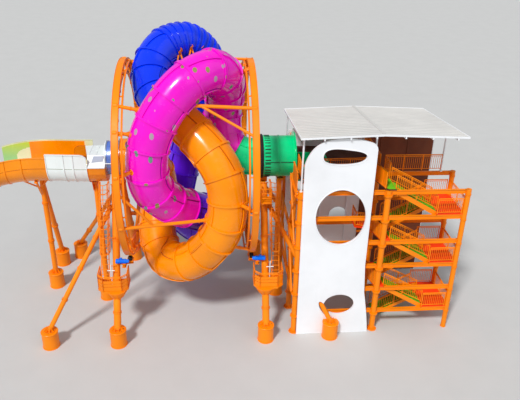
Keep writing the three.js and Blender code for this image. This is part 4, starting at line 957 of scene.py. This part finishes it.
def outlet_trim():
    """Trim on the box: a slanted dark window, flanges, cheeks, the edge of its mouth and a white bar."""
    shape = Shape()
    near_low, near_high = Vector((0, -TROUGH_RADIUS, BOX_EAVE)), Vector((0, -0.88, 12.1))
    up = (near_high - near_low).normalized()
    out = AXIS_X.cross(up).normalized()
    shape.plate(BOX_WINDOW, [], lambda x, v, d: near_low + AXIS_X * x + up * v + out * (0.004 + d), 0.012, 2)
    for way in (1, -1):
        shape.box((BOX_LEFT, way * 1.45 - 0.03, 11.37), (BOX_RIGHT, way * 1.45 + 0.03, 11.43))
    far_low, far_high = Vector((0, 1.0, 11.3)), Vector((0, 0.9, BOX_TOP))
    climb = (far_high - far_low).normalized()
    behind = AXIS_X.cross(climb).normalized()
    height = (far_high - far_low).length

    def on_cheek(x, v, d=0):
        return far_low + AXIS_X * x + climb * v + behind * d

    turns = [math.radians(15 * k) for k in range(1, 7)]
    corner = [(CHEEK_LEFT + CHEEK_ROUND * (1 - math.sin(t)), height - CHEEK_ROUND * (1 - math.cos(t)))
              for t in turns]
    white = [(CHEEK_MIDDLE, 0), (CHEEK_RIGHT, 0), (CHEEK_RIGHT, height), (CHEEK_MIDDLE, height)]
    orange = [(CHEEK_LEFT, 0), (CHEEK_MIDDLE, 0), (CHEEK_MIDDLE, height), (CHEEK_LEFT + CHEEK_ROUND, height),
              *corner]
    shape.plate(white, [], on_cheek, CHEEK_WALL)
    shape.plate(orange, [], on_cheek, CHEEK_WALL, 1)
    # A dark line along the orange cheek's outer edges: painted edge shadow.
    shape.line([on_cheek(x, v) for x, v in (orange[0], *orange[:3:-1], orange[2])], 0.025, 8, 3)
    wing = [(CHEEK_RIGHT, -BOX_HALF), (CHEEK_RIGHT, BOX_HALF), (CHEEK_MIDDLE, BOX_HALF)]
    shape.plate(wing, [], lambda x, y, d: (x, y, BOX_TOP - CHEEK_WALL + d), CHEEK_WALL)
    arc = [math.pi * i / 24 for i in range(25)]
    shape.line([(-6.75, -1.41 * math.cos(t), TROUGH_CENTRE - 1.41 * math.sin(t)) for t in arc], 0.035, 10, 1)
    for x in (-5.72, -6.2, -6.68):
        shape.beam((x, -0.9, 12.11), (x, 0.9, 12.11), 0.06, 0.03)
    shape.bar((-5.6, -1.24, 11.62), (-4.75, -1.24, 11.62), 0.04, 12)
    looks = (WHITE_SHELL, TUBE_ORANGE, WINDOW, SEAM_AND_SHADE_LOOKS[TUBE_ORANGE])
    shape.piece("outlet_box_trim", looks=looks)


TRESTLE_X, TRESTLE_RADIUS = -10.725, 0.195


def trough_frame():
    """The upright and the slanted post under the trough, with a V head and struts."""
    shape = Shape()
    top = Vector((TRESTLE_X, 1.76, 9.3))
    footed(shape, (TRESTLE_X, 1.76), top, TRESTLE_RADIUS, (0.35, 0.75))
    footed(shape, (-10.9, 4.97), top - AXIS_Z * 0.4, TRESTLE_RADIUS, (0.4,))
    collar(shape, top, AXIS_Z, TRESTLE_RADIUS, 0.06)
    for y in (0.45, 1.95):
        seat = on_trough(-TRESTLE_X, y, -1.46 + 0.28 * abs(y - 0.97) ** 2)
        shape.beam(top - AXIS_Z * 0.1, seat, 0.16, 0.16)
    shape.beam((TRESTLE_X, 0.2, 9.62), (TRESTLE_X, 1.9, 9.55), 0.2, 0.14)
    shape.beam((TRESTLE_X, 1.3, 8.2), (TRESTLE_X, 0.45, 9.5), 0.12, 0.12)
    shape.bar((TRESTLE_X, 1.6, 8.5), on_trough(12.4, 0.3, -1.4), 0.055, 12)
    shape.bar((TRESTLE_X, 1.6, 8.7), on_trough(9.95, 0.4, -1.38), 0.07, 12)
    shape.piece("trough_frame_steel", "trough_frame", STEELWORK)


trough()
outlet_trim()
pedestal("outlet_column", -6.56, 9.75, (0.42, 9.83, 0.4, 0.12), 0.16, ((0.05, 9.2), (0.3, 9.2), (0.62, 10.07),
                                                                      (0.05, 9.9)))
trough_frame()


# The stair tower

TOWER_X, TOWER_Y = (7.122, 12.813, 18.137), (-4.84, -1.925, 3.1)
FRONT_Y, MIDDLE_Y, BACK_Y = TOWER_Y
COLUMN_RADII, COLUMN_REACHES = (0.2, 0.2, 0.175), (0.15, 0.15, 0.023)
DECK_TOP, STOREY = 11.168, 11.168 / 6
TREADS, TREAD, WIDTH = 10, 0.29, 1.31
RISER = STOREY / (TREADS + 1)
DECK_LEFT, DECK_RIGHT, DECK_FRONT, DECK_BACK = 7.3, 13.3, -4.92, -1.845
CHAMFER = [(12.254, -3.3), (12.64, -4.76)]
FLOOR_DEPTH, BEAM_DEPTH = 0.0903, 0.28
FRAME_TOP = DECK_TOP - FLOOR_DEPTH
FLOORS = (6, 4, 2)
FLIGHTS = (("upper", 6), ("middle", 4), ("lower", 2))


def level(number):
    return number * STOREY


def beam_middle(number):
    return level(number) - FLOOR_DEPTH - BEAM_DEPTH / 2


def tower_frame(name, y, left, right):
    """A row of columns with collars, and the beams between them."""
    shape = Shape()
    for x, radius, reach in zip(TOWER_X, COLUMN_RADII, COLUMN_REACHES):
        foot = Vector((x, y, 0))
        shape.bar(foot, foot + AXIS_Z * FRAME_TOP, radius, 32)
        base_plate(shape, foot, radius, reach)
        for number in range(1, 7):
            for drop in (0.2, 0.27):
                collar(shape, foot + AXIS_Z * (beam_middle(number) - drop), AXIS_Z, radius, min(reach, 0.09))
    for ends, numbers in ((TOWER_X[:2], left), (TOWER_X[1:], right)):
        for number in numbers:
            start, end = (Vector((x, y, beam_middle(number))) for x in ends)
            girder(shape, start, end, 0.16, BEAM_DEPTH)
            for place in (start + AXIS_X * 0.22, end - AXIS_X * 0.22):
                shape.block(place - AXIS_Z * 0.005, (0.03, 0.18, 0.29))
    shape.piece(name + "_steel", name, STEELWORK)


def side_frame():
    """The beams of the left side, with a collared brace in each bay."""
    shape = Shape()
    x = TOWER_X[0] - COLUMN_RADII[0] - GAP - 0.08
    front, middle, back = ([Vector((x, y, beam_middle(number))) for number in range(7)] for y in TOWER_Y)
    for start, end in ((front[2], back[2]), (front[4], back[4]), (front[6], middle[6])):
        girder(shape, start, end, 0.15, BEAM_DEPTH)
    for start, end in ((front[2], middle[4]), (front[6], middle[4]), (front[4], middle[6]),
                       (middle[2], back[4])):
        shape.bar(start, end, 0.07, 20)
        for share in (0.06, 0.94):
            collar(shape, start.lerp(end, share), end - start, 0.07, 0.04, 0.04)
    shape.piece("frame_left_steel", "frame_left")


def deck_trim():
    """Orange guard plates on the chamfered corners, edge beams, joists under the floors and a ribbed mat."""
    shape = Shape()
    for number in FLOORS:
        floor = level(number)
        start, end = (Vector((x, y, floor + 0.575)) for x, y in CHAMFER)
        out = (end - start).cross(AXIS_Z).normalized() * 0.03
        for lift, width, depth in ((0, 0.07, 1.15), (-0.5, 0.12, 0.06), (0.545, 0.12, 0.06)):
            shape.beam(start + AXIS_Z * lift, end + AXIS_Z * lift, width, depth)
        for share in (0.02, 0.35, 0.68, 0.98):
            place = start.lerp(end, share) + out
            shape.beam(place - AXIS_Z * 0.56, place + AXIS_Z * 0.56, 0.06, 0.06)
        left = DECK_LEFT if number == 6 else 11.35
        for x, y in ((12.9, -4.2), (left, -3.4), (left, -2.6)):
            shape.beam((x, y, floor - 0.16), (13.28, y, floor - 0.16), 0.08, 0.13)
        shape.box((13.285, DECK_FRONT, floor - 0.14), (DECK_RIGHT, DECK_BACK, floor + 0.012))
    for y in (1.6, 2.4):
        shape.beam((7.35, y, DECK_TOP - 0.16), (12.98, y, DECK_TOP - 0.16), 0.08, 0.13)
    shape.box((7.29, 1.4, DECK_TOP - 0.2), (DECK_LEFT, 2.74, DECK_TOP + 0.1))
    for lift, width, depth in ((0.52, 0.05, 1.25), (1.15, 0.1, 0.06)):
        shape.beam((6.86, -2.9, DECK_TOP + lift), (6.86, -4.7, DECK_TOP + lift), width, depth)
    mat = [(12.34, -3.3), (12.7, -4.74), (12.86, -4.88), (13.27, -4.88), (13.27, -3.3)]
    shape.plate(mat, [], lambda x, y, d: (x, y, DECK_TOP + d), 0.018, 1)
    for i in range(1, 12):
        y = -3.3 - 0.135 * i
        shape.box((12.37 + 0.033 * i, y - 0.02, DECK_TOP + 0.01), (13.25, y + 0.02, DECK_TOP + 0.03), 1)
    shape.piece("deck_trim", looks=(STEEL, MAT))


def flight_steps(shape, start, way, upper, front):
    """Treads between two stringers, with a rail of thin bars on each side."""
    top, run = level(upper), way * TREAD
    y0, y1 = front + 0.06, front + WIDTH - 0.06
    for k in range(1, TREADS + 1):
        z, x = top - k * RISER, start + run * (k - 1)
        for (low, high), bottom, lid in ((sorted((x - way * 0.02, x + run)), z - 0.045, z),
                                         (sorted((x, x + way * 0.012)), z, z + RISER - 0.045)):
            shape.box((low, y0, bottom), (high, y1, lid), 1)
    first = Vector((start, 0, top - RISER - 0.05))
    last = Vector((start + run * TREADS, 0, top - RISER * (TREADS + 1) - 0.05))
    for y in (front + 0.03, front + WIDTH - 0.03):
        a, b = first + AXIS_Y * y, last + AXIS_Y * y
        shape.beam(a, b, 0.05, 0.3)
        rails(shape, [a + AXIS_Z * 0.14, b + AXIS_Z * (0.14 + RISER)], 1.0, 1.4, 0.15)


def flights():
    """In each storey a flight at the front, its landing with rails, and a flight back to the lower floor."""
    front, back = DECK_FRONT + 0.1603, DECK_BACK - 0.1603 - WIDTH
    landing, right = DECK_RIGHT + TREADS * TREAD, TOWER_X[2]
    for name, upper in FLIGHTS:
        shape = Shape()
        flight_steps(shape, DECK_RIGHT + GAP, 1, upper, front)
        floor = level(upper - 1)
        under = floor - 0.07
        shape.box((landing, DECK_FRONT, floor - 0.05), (right, DECK_BACK, floor), 2)
        for y in (DECK_FRONT + 0.04, DECK_BACK - 0.04, -3.4):
            shape.beam((landing, y, under), (right, y, under), 0.07, 0.13)
        for x in (landing + 0.03, right - 0.03):
            shape.beam((x, DECK_FRONT, under), (x, DECK_BACK, under), 0.06, 0.13)
        for places in (((landing + 0.05, -4.88), (right - 0.25, -4.88)),
                       ((right - 0.05, -4.6), (right - 0.05, -2.15)),
                       ((right - 0.25, -1.885), (landing + 0.05, -1.885))):
            fence(shape, floor, places, 1.1, 1.2, 0.13)
        shape.piece(f"front_flight_{name}_stairs", f"front_flight_{name}", (STEEL, TREAD_GREEN, FLOOR_RED))
        shape = Shape()
        flight_steps(shape, landing - GAP, -1, upper - 1, back)
        shape.points = [Vector((p.x, p.y, max(p.z, 0))) for p in shape.points]
        shape.piece(f"back_flight_{name}_stairs", f"back_flight_{name}", (STEEL, TREAD_GREEN))


def guard_rails():
    """The rails that are nodes of their own, and the shorter ones on the decks."""
    floor = DECK_TOP + GAP
    for name, places in (("guard_rail_front", ((7.35, -1.6), (7.35, -3.47), (12.18, -3.24))),
                         ("guard_rail_stair", ((13.25, -3.26), (13.25, MIDDLE_Y), (17.2, MIDDLE_Y))),
                         ("guard_rail_deck", ((12.96, 2.65), (12.96, -1.775)))):
        shape = Shape()
        fence(shape, floor, places, 1.14, 1.2, 0.14)
        shape.piece(name + "_steel", name)
    shape = Shape()
    for number in FLOORS[1:]:
        fence(shape, level(number), ((11.35, -1.9), (11.35, -2.95), (12.2, -3.24)), 1.1, 1.0, 0.14)
    fence(shape, floor, ((7.35, 1.45), (7.35, 2.65)), 1.1, 1.3, 0.14)
    fence(shape, floor, ((7.9, -3.38), (11.8, -3.2)), 1.5, 1.2, 0.14)
    shape.piece("deck_rails")


# The sculpted front and back

FRONT_FOOT = [(7.284, 0), (9.149, 0), (9.149, 1.2503), (10.091, 1.2503), (10.091, 0)]
# Each curve of the front's outline with its steps, and each curve of its top hole
FRONT_CURVES = (
    (16, (12.4, 0), (12.25, 1.5), (11.873, 3.396)),
    (1, (11.873, 3.396), (11.718, 5.614)),
    (6, (11.718, 5.614), (11.71, 8), (11.7, 14.0)),
    (8, (11.7, 14.0), (11.7, 14.25), (11.45, 14.42)),
    (24, (11.45, 14.42), (10.75, 14.72), (9.878, 14.759)),
    (24, (9.878, 14.759), (8.95, 14.79), (8.348, 14.549)),
    (24, (8.348, 14.549), (7.5, 14.15), (7.206, 13.041)),
    (1, (7.206, 13.041), FRONT_FOOT[0]),
)
EYE_CURVES = (
    (24, (8.337, 13.562), (8.337, 14.25), (9.3, 14.1), (10.0, 13.99)),
    (24, (10.0, 13.99), (10.8, 13.9), (11.064, 13.75), (11.064, 13.529)),
    (24, (11.064, 13.529), (11.0, 13.05), (10.0, 13.03), (9.3, 13.04)),
    (24, (9.3, 13.04), (8.7, 13.06), (8.337, 13.2), (8.337, 13.562)),
)
EGG_CENTRE, EGG_ACROSS, EGG_UP, EGG_POINTS = (9.753, 9.294), (1.635, 0.06), (-0.13, 2.006), 96
ARCH_CENTRE, ARCH_POINTS = (9.2, 2.2), 120
ARCH_OVALS = (((10.16, 2.45), (1.06, 0.83), 0), ((9.14, 2.09), (0.72, 0.225), 2.088))
PANEL_DEPTH, RIM_BAND, RIM_PROUD = 0.15, 0.07, 0.025
BACK_HOLES = ((9.0, 3.3, 0.8), (11.4, 5.3, 0.7), (8.9, 8.0, 0.85), (11.3, 9.7, 0.65))
BACK_OUTLINE = [(7.15, 0), (18.337, 0), (18.337, 11.9), (18.2, 12.35), (17.8, 12.568), (7.6, 12.568),
                (7.25, 12.4), (7.15, 12.1)]
# The outline of the brown plate of painted shade inside the back sheet's right half
SHADED_SHEET_OUTLINE = [(13.05, 0.05), (18.28, 0.05), (18.28, 11.88), (17.78, 12.5), (13.05, 12.5)]


def curve(steps, *points):
    """Points of a curve led by its points, without its last one."""
    made = []
    for i in range(steps):
        line = [Vector((*p, 0)) for p in points]
        while len(line) > 1:
            line = [a.lerp(b, i / steps) for a, b in zip(line, line[1:])]
        made.append((line[0].x, line[0].y))
    return made


def merged(inner, ovals, count):
    """The outline around two or more ovals that all hold the inner point."""
    made = []
    for turn in (2 * math.pi * i / count for i in range(count)):
        reach = 0
        for (cx, cz), (rx, rz), slant in ovals:
            cos, sin = math.cos(-slant), math.sin(-slant)
            (px, pz), (dx, dz) = (((u * cos - v * sin) / rx, (u * sin + v * cos) / rz) for u, v in (
                (inner[0] - cx, inner[1] - cz), (math.cos(turn), math.sin(turn))))
            a, b, c = dx * dx + dz * dz, px * dx + pz * dz, px * px + pz * pz - 1
            reach = max(reach, (-b + math.sqrt(b * b - a * c)) / a)
        made.append((inner[0] + reach * math.cos(turn), inner[1] + reach * math.sin(turn)))
    return made


def hole_rim(shape, hole, front):
    """A raised band around a hole."""
    centre = Vector((sum(u for u, _ in hole), sum(v for _, v in hole))) / len(hole)
    loops = []
    proud = front - RIM_PROUD
    for grow, y in ((0.0, front), (0.0, proud), (RIM_BAND, proud), (RIM_BAND + 0.03, front)):
        places = [Vector(p) + (Vector(p) - centre).normalized() * grow for p in hole]
        loops.append([(p.x, y, p.y) for p in places])
    shape.skin(loops)


def front_panel():
    """The white front with a wide top hole, an egg-shaped middle hole and an arched lower one."""
    back = FRONT_Y - COLUMN_RADII[0] - GAP
    front = back - PANEL_DEPTH
    outline = FRONT_FOOT + [p for steps, *points in FRONT_CURVES for p in curve(steps, *points)]
    eye = [p for steps, *points in EYE_CURVES for p in curve(steps, *points)]
    turns = [2 * math.pi * i / EGG_POINTS for i in range(EGG_POINTS)]
    axes = list(zip(EGG_CENTRE, EGG_ACROSS, EGG_UP))
    egg = [tuple(c + across * math.cos(t) + up * math.sin(t) for c, across, up in axes) for t in turns]
    arch = merged(ARCH_CENTRE, ARCH_OVALS, ARCH_POINTS)
    shape = Shape()
    shape.plate(outline, [eye, egg, arch], lambda x, z, d: (x, front + d, z), PANEL_DEPTH)
    for hole in (eye, egg):
        hole_rim(shape, hole, front + 0.004)
    for z in (3.6, 6.9, 11.7):
        shape.beam((7.4, back - 0.02, z), (11.6, back - 0.02, z), 0.03, 0.05)
    shape.piece("front_panel_shell", "front_panel", (PANEL,), bevel=0.03)


def back_panel():
    """The white back sheet with round holes, painted shade in brown on the inside of its right half, and its
    battens.
    """
    front = BACK_Y - COLUMN_RADII[0] - GAP - PANEL_DEPTH
    shape = Shape()
    turns = [2 * math.pi * i / 48 for i in range(48)]
    holes = [[(x + r * math.cos(t), z + r * math.sin(t)) for t in turns] for x, z, r in BACK_HOLES]
    shape.plate(BACK_OUTLINE, holes, lambda x, z, d: (x, front + d, z), PANEL_DEPTH)
    # A brown plate inside the right half: painted shade on the white sheet.
    shape.plate(SHADED_SHEET_OUTLINE, [], lambda x, z, d: (x, front - 0.03 + d, z), 0.03, 1)
    for hole in holes:
        hole_rim(shape, hole, front + 0.004)
    # The battens in the right half carry the same painted shade.
    for x, use in ((9.9, 0), (12.0, 0), (14.2, 1), (16.3, 1)):
        shape.beam((x, front - 0.03, 0.3), (x, front - 0.03, 12.3), 0.05, 0.06, use)
    shape.piece("back_panel_shell", "back_panel", (PANEL, BACK_SHEET_SHADE), bevel=0.03)


# The roof

ROOF_LEFT, ROOF_RIDGE, ROOF_RIGHT, ROOF_FRONT, ROOF_BACK = 6.85, 12.0, 17.32, -5.39, 3.3
ROOF_EAVE, ROOF_RISE, ROOF_FALL, ROOF_DEPTH, ROOF_SEAMS = 14.86, 0.21, 0.115, 0.05, 20
PURLINS = (8.3, 9.9, 11.5, 13.3, 15.0, 16.6)
POST_FOOT, BRACKET_TOP, WIDE_POST, THIN_POST = FRAME_TOP + GAP, 14.1, 0.06, 0.045
WIDE_POSTS = ((TOWER_X[0], FRONT_Y), (11.65, FRONT_Y), (17.25, MIDDLE_Y), (TOWER_X[0], BACK_Y),
              (TOWER_X[1], BACK_Y), (17.25, BACK_Y))
THIN_POSTS = ((8.976, FRONT_Y), (9.8, FRONT_Y), (10.64, FRONT_Y))


def roof_at(x, y, lift=0.0):
    """A point over or under the roof's upper face."""
    share = (x - ROOF_LEFT) / (ROOF_RIDGE - ROOF_LEFT) if x < ROOF_RIDGE else (
        (ROOF_RIGHT - x) / (ROOF_RIGHT - ROOF_RIDGE))
    return Vector((x, y, ROOF_EAVE + ROOF_RISE * share - ROOF_FALL * (y - ROOF_FRONT) + lift))


def roof():
    """Two sloped plates with standing seams, a ridge cap, fascia boards, purlins and thin posts."""
    shape = Shape()
    line = []
    for i in range(ROOF_SEAMS + 1):
        y = ROOF_FRONT + (ROOF_BACK - ROOF_FRONT) * i / ROOF_SEAMS
        a, b = max(y - 0.02, ROOF_FRONT), min(y + 0.02, ROOF_BACK)
        line += [(a, 0), (a + 0.005, 0.035), (b - 0.005, 0.035), (b, 0)]
    line += [(ROOF_BACK, -ROOF_DEPTH), (ROOF_FRONT, -ROOF_DEPTH)]
    shape.skin([[roof_at(x, y, z) for y, z in line] for x in (ROOF_LEFT, ROOF_RIDGE, ROOF_RIGHT)], caps=True)
    # Beams along the roof's slope: where each lies, how far under the face, its section and its look
    beams = [(ROOF_RIDGE, 0.015, 0.2, 0.03, 0)]
    beams += [(x, -0.03, 0.05, 0.12, 1) for x in (ROOF_LEFT + 0.02, ROOF_RIGHT - 0.02)]
    beams += [(x, -0.14, 0.08, 0.16, 1) for x in PURLINS]
    for x, lift, width, depth, use in beams:
        shape.beam(roof_at(x, ROOF_FRONT, lift), roof_at(x, ROOF_BACK, lift), width, depth, use)
    for y in (ROOF_FRONT + 0.02, ROOF_BACK - 0.02):
        for left, right in ((ROOF_LEFT, ROOF_RIDGE), (ROOF_RIDGE, ROOF_RIGHT)):
            shape.beam(roof_at(left, y, -0.03), roof_at(right, y, -0.03), 0.05, 0.12, 1)
    for places, radius, start in ((WIDE_POSTS, WIDE_POST, POST_FOOT), (THIN_POSTS, THIN_POST, BRACKET_TOP)):
        for x, y in places:
            if start == BRACKET_TOP:
                shape.box((x - 0.08, y - 0.2, start - 0.02), (x + 0.08, y + 0.06, start + 0.04), 1)
            shape.bar((x, y, start), roof_at(x, y, -ROOF_DEPTH), radius, 16, 1)
            collar(shape, (x, y, start + 0.015), AXIS_Z, radius, 0.05, 0.03, 1)
    shape.piece("roof_sheets", "roof", (ROOF, PANEL))


tower_frame("frame_front", FRONT_Y, range(1, 7), range(1, 7))
tower_frame("frame_middle", MIDDLE_Y, FLOORS, range(1, 7))
tower_frame("frame_back", BACK_Y, FLOORS, FLOORS)
side_frame()
deck_trim()
flights()
guard_rails()
front_panel()
back_panel()
roof()


# Floor, light and camera

FLOOR_REACH, FLOOR_ROWS = 500, 12
FLOOR_GREY = (197.26, 197.26, 195.68)
SKY, SKY_STRENGTH = (0.93, 0.96, 1.0, 1), 0.42
# Each light's strength, its angle in degrees and the way it shines
SUNS = (("key", 2.7, 8, (0.45, 0.75, -1.0)), ("fill", 0.4, 60, (-0.6, 0.5, -0.6)))
CAMERA_PLACE, HEADING, PITCH, ROLL = (-1.0287, -39.3448, 27.9235), 5.241, 26.65, 1.402
PHOTO_WIDTH, FOCAL_PIXELS, SENSOR = 520, 609.96, 36


def floor():
    shape = Shape()
    places = [-FLOOR_REACH + 2 * FLOOR_REACH * i / FLOOR_ROWS for i in range(FLOOR_ROWS + 1)]
    shape.skin([[(x, y, 0) for x in places] for y in places], closed=False)
    mesh = bpy.data.meshes.new("floor")
    mesh.from_pydata([tuple(p) for p in shape.points], [], shape.faces)
    mesh.materials.append(look("floor", FLOOR_GREY, 0.8, tone=0.02, streak=0.0, bump=0.0))
    obj = bpy.data.objects.new("floor", mesh)
    bpy.context.scene.collection.objects.link(obj)


def lights():
    world = bpy.data.worlds.new("studio")
    bpy.context.scene.world = world
    world.use_nodes = True
    back = world.node_tree.nodes["Background"]
    back.inputs["Color"].default_value = SKY
    back.inputs["Strength"].default_value = SKY_STRENGTH
    for name, strength, angle, way in SUNS:
        data = bpy.data.lights.new(name, "SUN")
        data.energy, data.angle = strength, math.radians(angle)
        obj = bpy.data.objects.new(name, data)
        obj.rotation_mode = "QUATERNION"
        obj.rotation_quaternion = Vector(way).to_track_quat("-Z", "Y")
        bpy.context.scene.collection.objects.link(obj)
    bpy.context.scene.view_settings.view_transform = "Standard"


def camera():
    """The photograph's viewpoint: its place, heading from +Y to +X, pitch down and roll."""
    heading, pitch, roll = (math.radians(v) for v in (HEADING, PITCH, ROLL))
    flat, across = (Vector((math.sin(t), math.cos(t), 0)) for t in (heading, heading + math.pi / 2))
    ahead = flat * math.cos(pitch) - AXIS_Z * math.sin(pitch)
    down = ahead.cross(across)
    right = across * math.cos(roll) - down * math.sin(roll)
    lower = across * math.sin(roll) + down * math.cos(roll)
    data = bpy.data.cameras.new("camera")
    data.sensor_width, data.lens, data.clip_end = SENSOR, FOCAL_PIXELS / PHOTO_WIDTH * SENSOR, 2000
    obj = bpy.data.objects.new("camera", data)
    turn = Matrix((right, -lower, -ahead)).transposed().to_4x4()
    obj.matrix_world = Matrix.Translation(CAMERA_PLACE) @ turn
    bpy.context.scene.collection.objects.link(obj)
    bpy.context.scene.camera = obj


floor()
lights()
camera()
